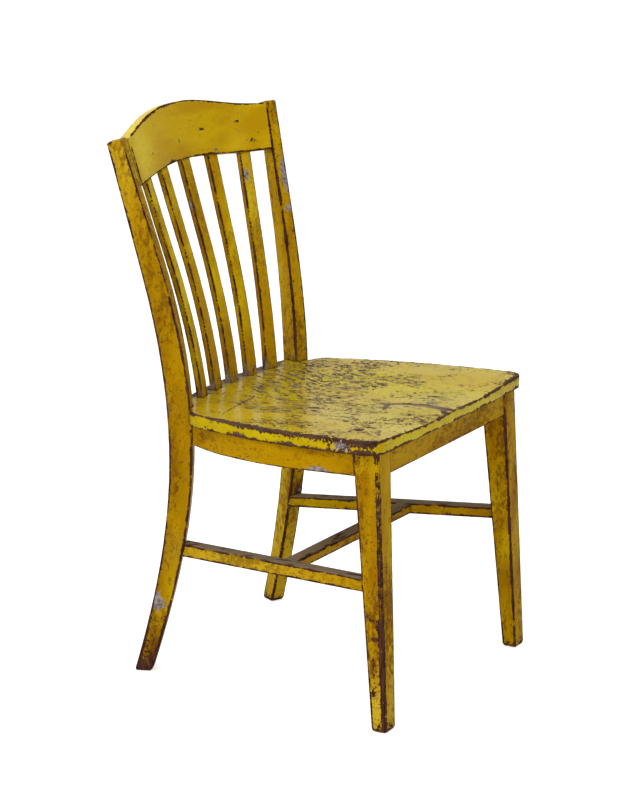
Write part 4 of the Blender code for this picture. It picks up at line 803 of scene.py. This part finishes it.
def finish_chair():
    seat_paint = yellow_paint("seat_paint", ALONG, thin_arris=3.4, worn_arris=13.0, ochre=0.08, stain=0.20,
                              specks=0.6, gloss=0.16, shine=0.045, lemon=SEAT_LEMON, yellow=SEAT_YELLOW,
                              flaking=True, lines=SEAT_LINES)
    post_paint = yellow_paint("post_paint", UP, thin_arris=1.6, worn_arris=9.0, ochre=0.80, stain=0.75,
                              specks=0.8, gloss=0.30, shine=0.02)
    slat_paint = yellow_paint("slat_paint", UP, thin_arris=1.1, worn_arris=8.0, ochre=0.50, stain=0.50,
                              specks=0.4, gloss=0.30, shine=0.02, lemon=FRESH_LEMON)
    crest_paint = yellow_paint("crest_paint", ACROSS, thin_arris=1.8, worn_arris=8.0, ochre=0.10, stain=0.12,
                               specks=0.3, gloss=0.30, shine=0.05)
    leg_paint = yellow_paint("leg_paint", UP, thin_arris=1.5, worn_arris=10.0, ochre=1.0, stain=0.85,
                             specks=0.9, gloss=0.32, shine=0.02)
    apron_paint = yellow_paint("apron_paint", ACROSS, thin_arris=1.5, worn_arris=8.0, ochre=1.0, stain=0.7,
                               specks=0.6, gloss=0.32, shine=0.02)
    side_paint = yellow_paint("side_rail_paint", ALONG, thin_arris=1.5, worn_arris=9.0, ochre=0.90, stain=0.65,
                              specks=0.7, gloss=0.32, shine=0.02)
    worn_piece("seat", SEAT_GRID, seat_paint)
    for side in ("left", "right"):
        worn_piece("rear_post_" + side, POST_GRID, post_paint)
        worn_piece("front_leg_" + side, FINE_GRID, leg_paint)
        worn_piece("apron_" + side, FINE_GRID, side_paint)
        worn_piece("side_stretcher_" + side, FINE_GRID, side_paint, BARE_TOP)
    worn_piece("crest_rail", POST_GRID, crest_paint, PALER_TOP)
    # The slats' side faces carry painted shade
    for number in range(1, 6):
        worn_piece("slat_%d" % number, SLAT_GRID, slat_paint, SHADED_SIDES)
    worn_piece("apron_front", FINE_GRID, apron_paint)
    worn_piece("apron_rear", FINE_GRID, apron_paint)
    worn_piece("cross_stretcher", FINE_GRID, apron_paint, BARE_TOP)


def finish_hardware():
    """Wood on the corner blocks, and rusted steel on the screws, the bolt and the washer."""
    materials = {
        "corner_block": aged_wood("block_wood", ACROSS),
        "seat_screw": rusted_steel("screw_steel", SCREW_RUST, SCREW_STEEL),
        "repair_bolt": rusted_steel("bolt_steel", BOLT_RUST, BOLT_STEEL),
        "repair_washer": rusted_steel("washer_steel", WASHER_RUST, WASHER_STEEL),
    }
    for node, thing in nodes.items():
        for start, material in materials.items():
            if node.startswith(start):
                thing.data.materials.clear()
                thing.data.materials.append(material)


# Studio


def background_rays(tree):
    """One for a ray that shows the background: to the camera, in a reflection or through glass."""
    rays = tree.nodes.new("ShaderNodeLightPath")
    seen = rays.outputs["Is Camera Ray"]
    for kind in ("Is Glossy Ray", "Is Transmission Ray"):
        either = tree.nodes.new("ShaderNodeMath")
        either.operation = "MAXIMUM"
        tree.links.new(seen, either.inputs[0])
        tree.links.new(rays.outputs[kind], either.inputs[1])
        seen = either.outputs[0]
    return seen


def plain_floor():
    """A pale floor that is white to the camera and in reflections, and keeps the chair's shadow."""
    bpy.ops.object.select_all(action="DESELECT")
    bpy.ops.mesh.primitive_plane_add(size=FLOOR_SIZE, location=(0.0, 0.0, 0.0))
    floor = bpy.context.object
    floor.name = "floor"
    material = bpy.data.materials.new("pale_floor")
    material.use_nodes = True
    tree = material.node_tree
    shader = tree.nodes["Principled BSDF"]
    shader.inputs["Base Color"].default_value = FLOOR_COLOUR
    shader.inputs["Roughness"].default_value = FLOOR_ROUGHNESS
    shader.inputs["Specular IOR Level"].default_value = 0.0
    level = tree.nodes.new("ShaderNodeMath")
    level.operation = "MULTIPLY"
    level.inputs[1].default_value = FLOOR_GLOW
    tree.links.new(background_rays(tree), level.inputs[0])
    glow = tree.nodes.new("ShaderNodeEmission")
    glow.inputs["Color"].default_value = WHITE
    tree.links.new(level.outputs[0], glow.inputs["Strength"])
    both = tree.nodes.new("ShaderNodeAddShader")
    tree.links.new(shader.outputs[0], both.inputs[0])
    tree.links.new(glow.outputs[0], both.inputs[1])
    tree.links.new(both.outputs[0], tree.nodes["Material Output"].inputs["Surface"])
    floor.data.materials.append(material)


def soft_sky():
    """White to the camera and in reflections, and a plain soft fill on everything else."""
    world = bpy.data.worlds.new("studio")
    bpy.context.scene.world = world
    world.use_nodes = True
    tree = world.node_tree
    sky = tree.nodes["Background"]
    sky.inputs["Color"].default_value = WHITE
    level = tree.nodes.new("ShaderNodeMapRange")
    level.inputs["To Min"].default_value = SKY_FILL
    level.inputs["To Max"].default_value = SKY_SEEN
    tree.links.new(background_rays(tree), level.inputs["Value"])
    tree.links.new(level.outputs[0], sky.inputs["Strength"])


def soft_lamp(name, place, target, size, power):
    bpy.ops.object.light_add(type="AREA", location=place)
    lamp = bpy.context.object
    lamp.name = name
    lamp.data.shape = "DISK"
    lamp.data.size = size
    lamp.data.energy = power
    lamp.rotation_euler = (Vector(target) - Vector(place)).to_track_quat("-Z", "Y").to_euler()


def light_studio():
    soft_sky()
    for lamp in LAMPS:
        soft_lamp(*lamp)


def place_camera():
    """The photograph's own view, held as one matrix."""
    azimuth, elevation, roll = CAMERA_AZIMUTH, CAMERA_ELEVATION, CAMERA_ROLL
    back = Vector((math.sin(azimuth) * math.cos(elevation), -math.cos(azimuth) * math.cos(elevation),
                   math.sin(elevation)))
    right = Vector((math.cos(azimuth), math.sin(azimuth), 0.0))
    up = back.cross(right)
    level_right = right * math.cos(roll) + up * math.sin(roll)
    level_up = up * math.cos(roll) - right * math.sin(roll)
    place = CAMERA_TARGET + back * CAMERA_DISTANCE
    bpy.ops.object.camera_add()
    camera = bpy.context.object
    camera.name = "camera"
    camera.data.lens = CAMERA_LENS
    camera.data.sensor_width = CAMERA_SENSOR
    matrix = Matrix((level_right, level_up, back)).transposed().to_4x4()
    matrix.translation = place
    camera.matrix_world = matrix
    bpy.context.scene.camera = camera


place_camera()
light_studio()
plain_floor()
finish_chair()
finish_hardware()
bpy.context.scene.view_settings.view_transform = "Standard"
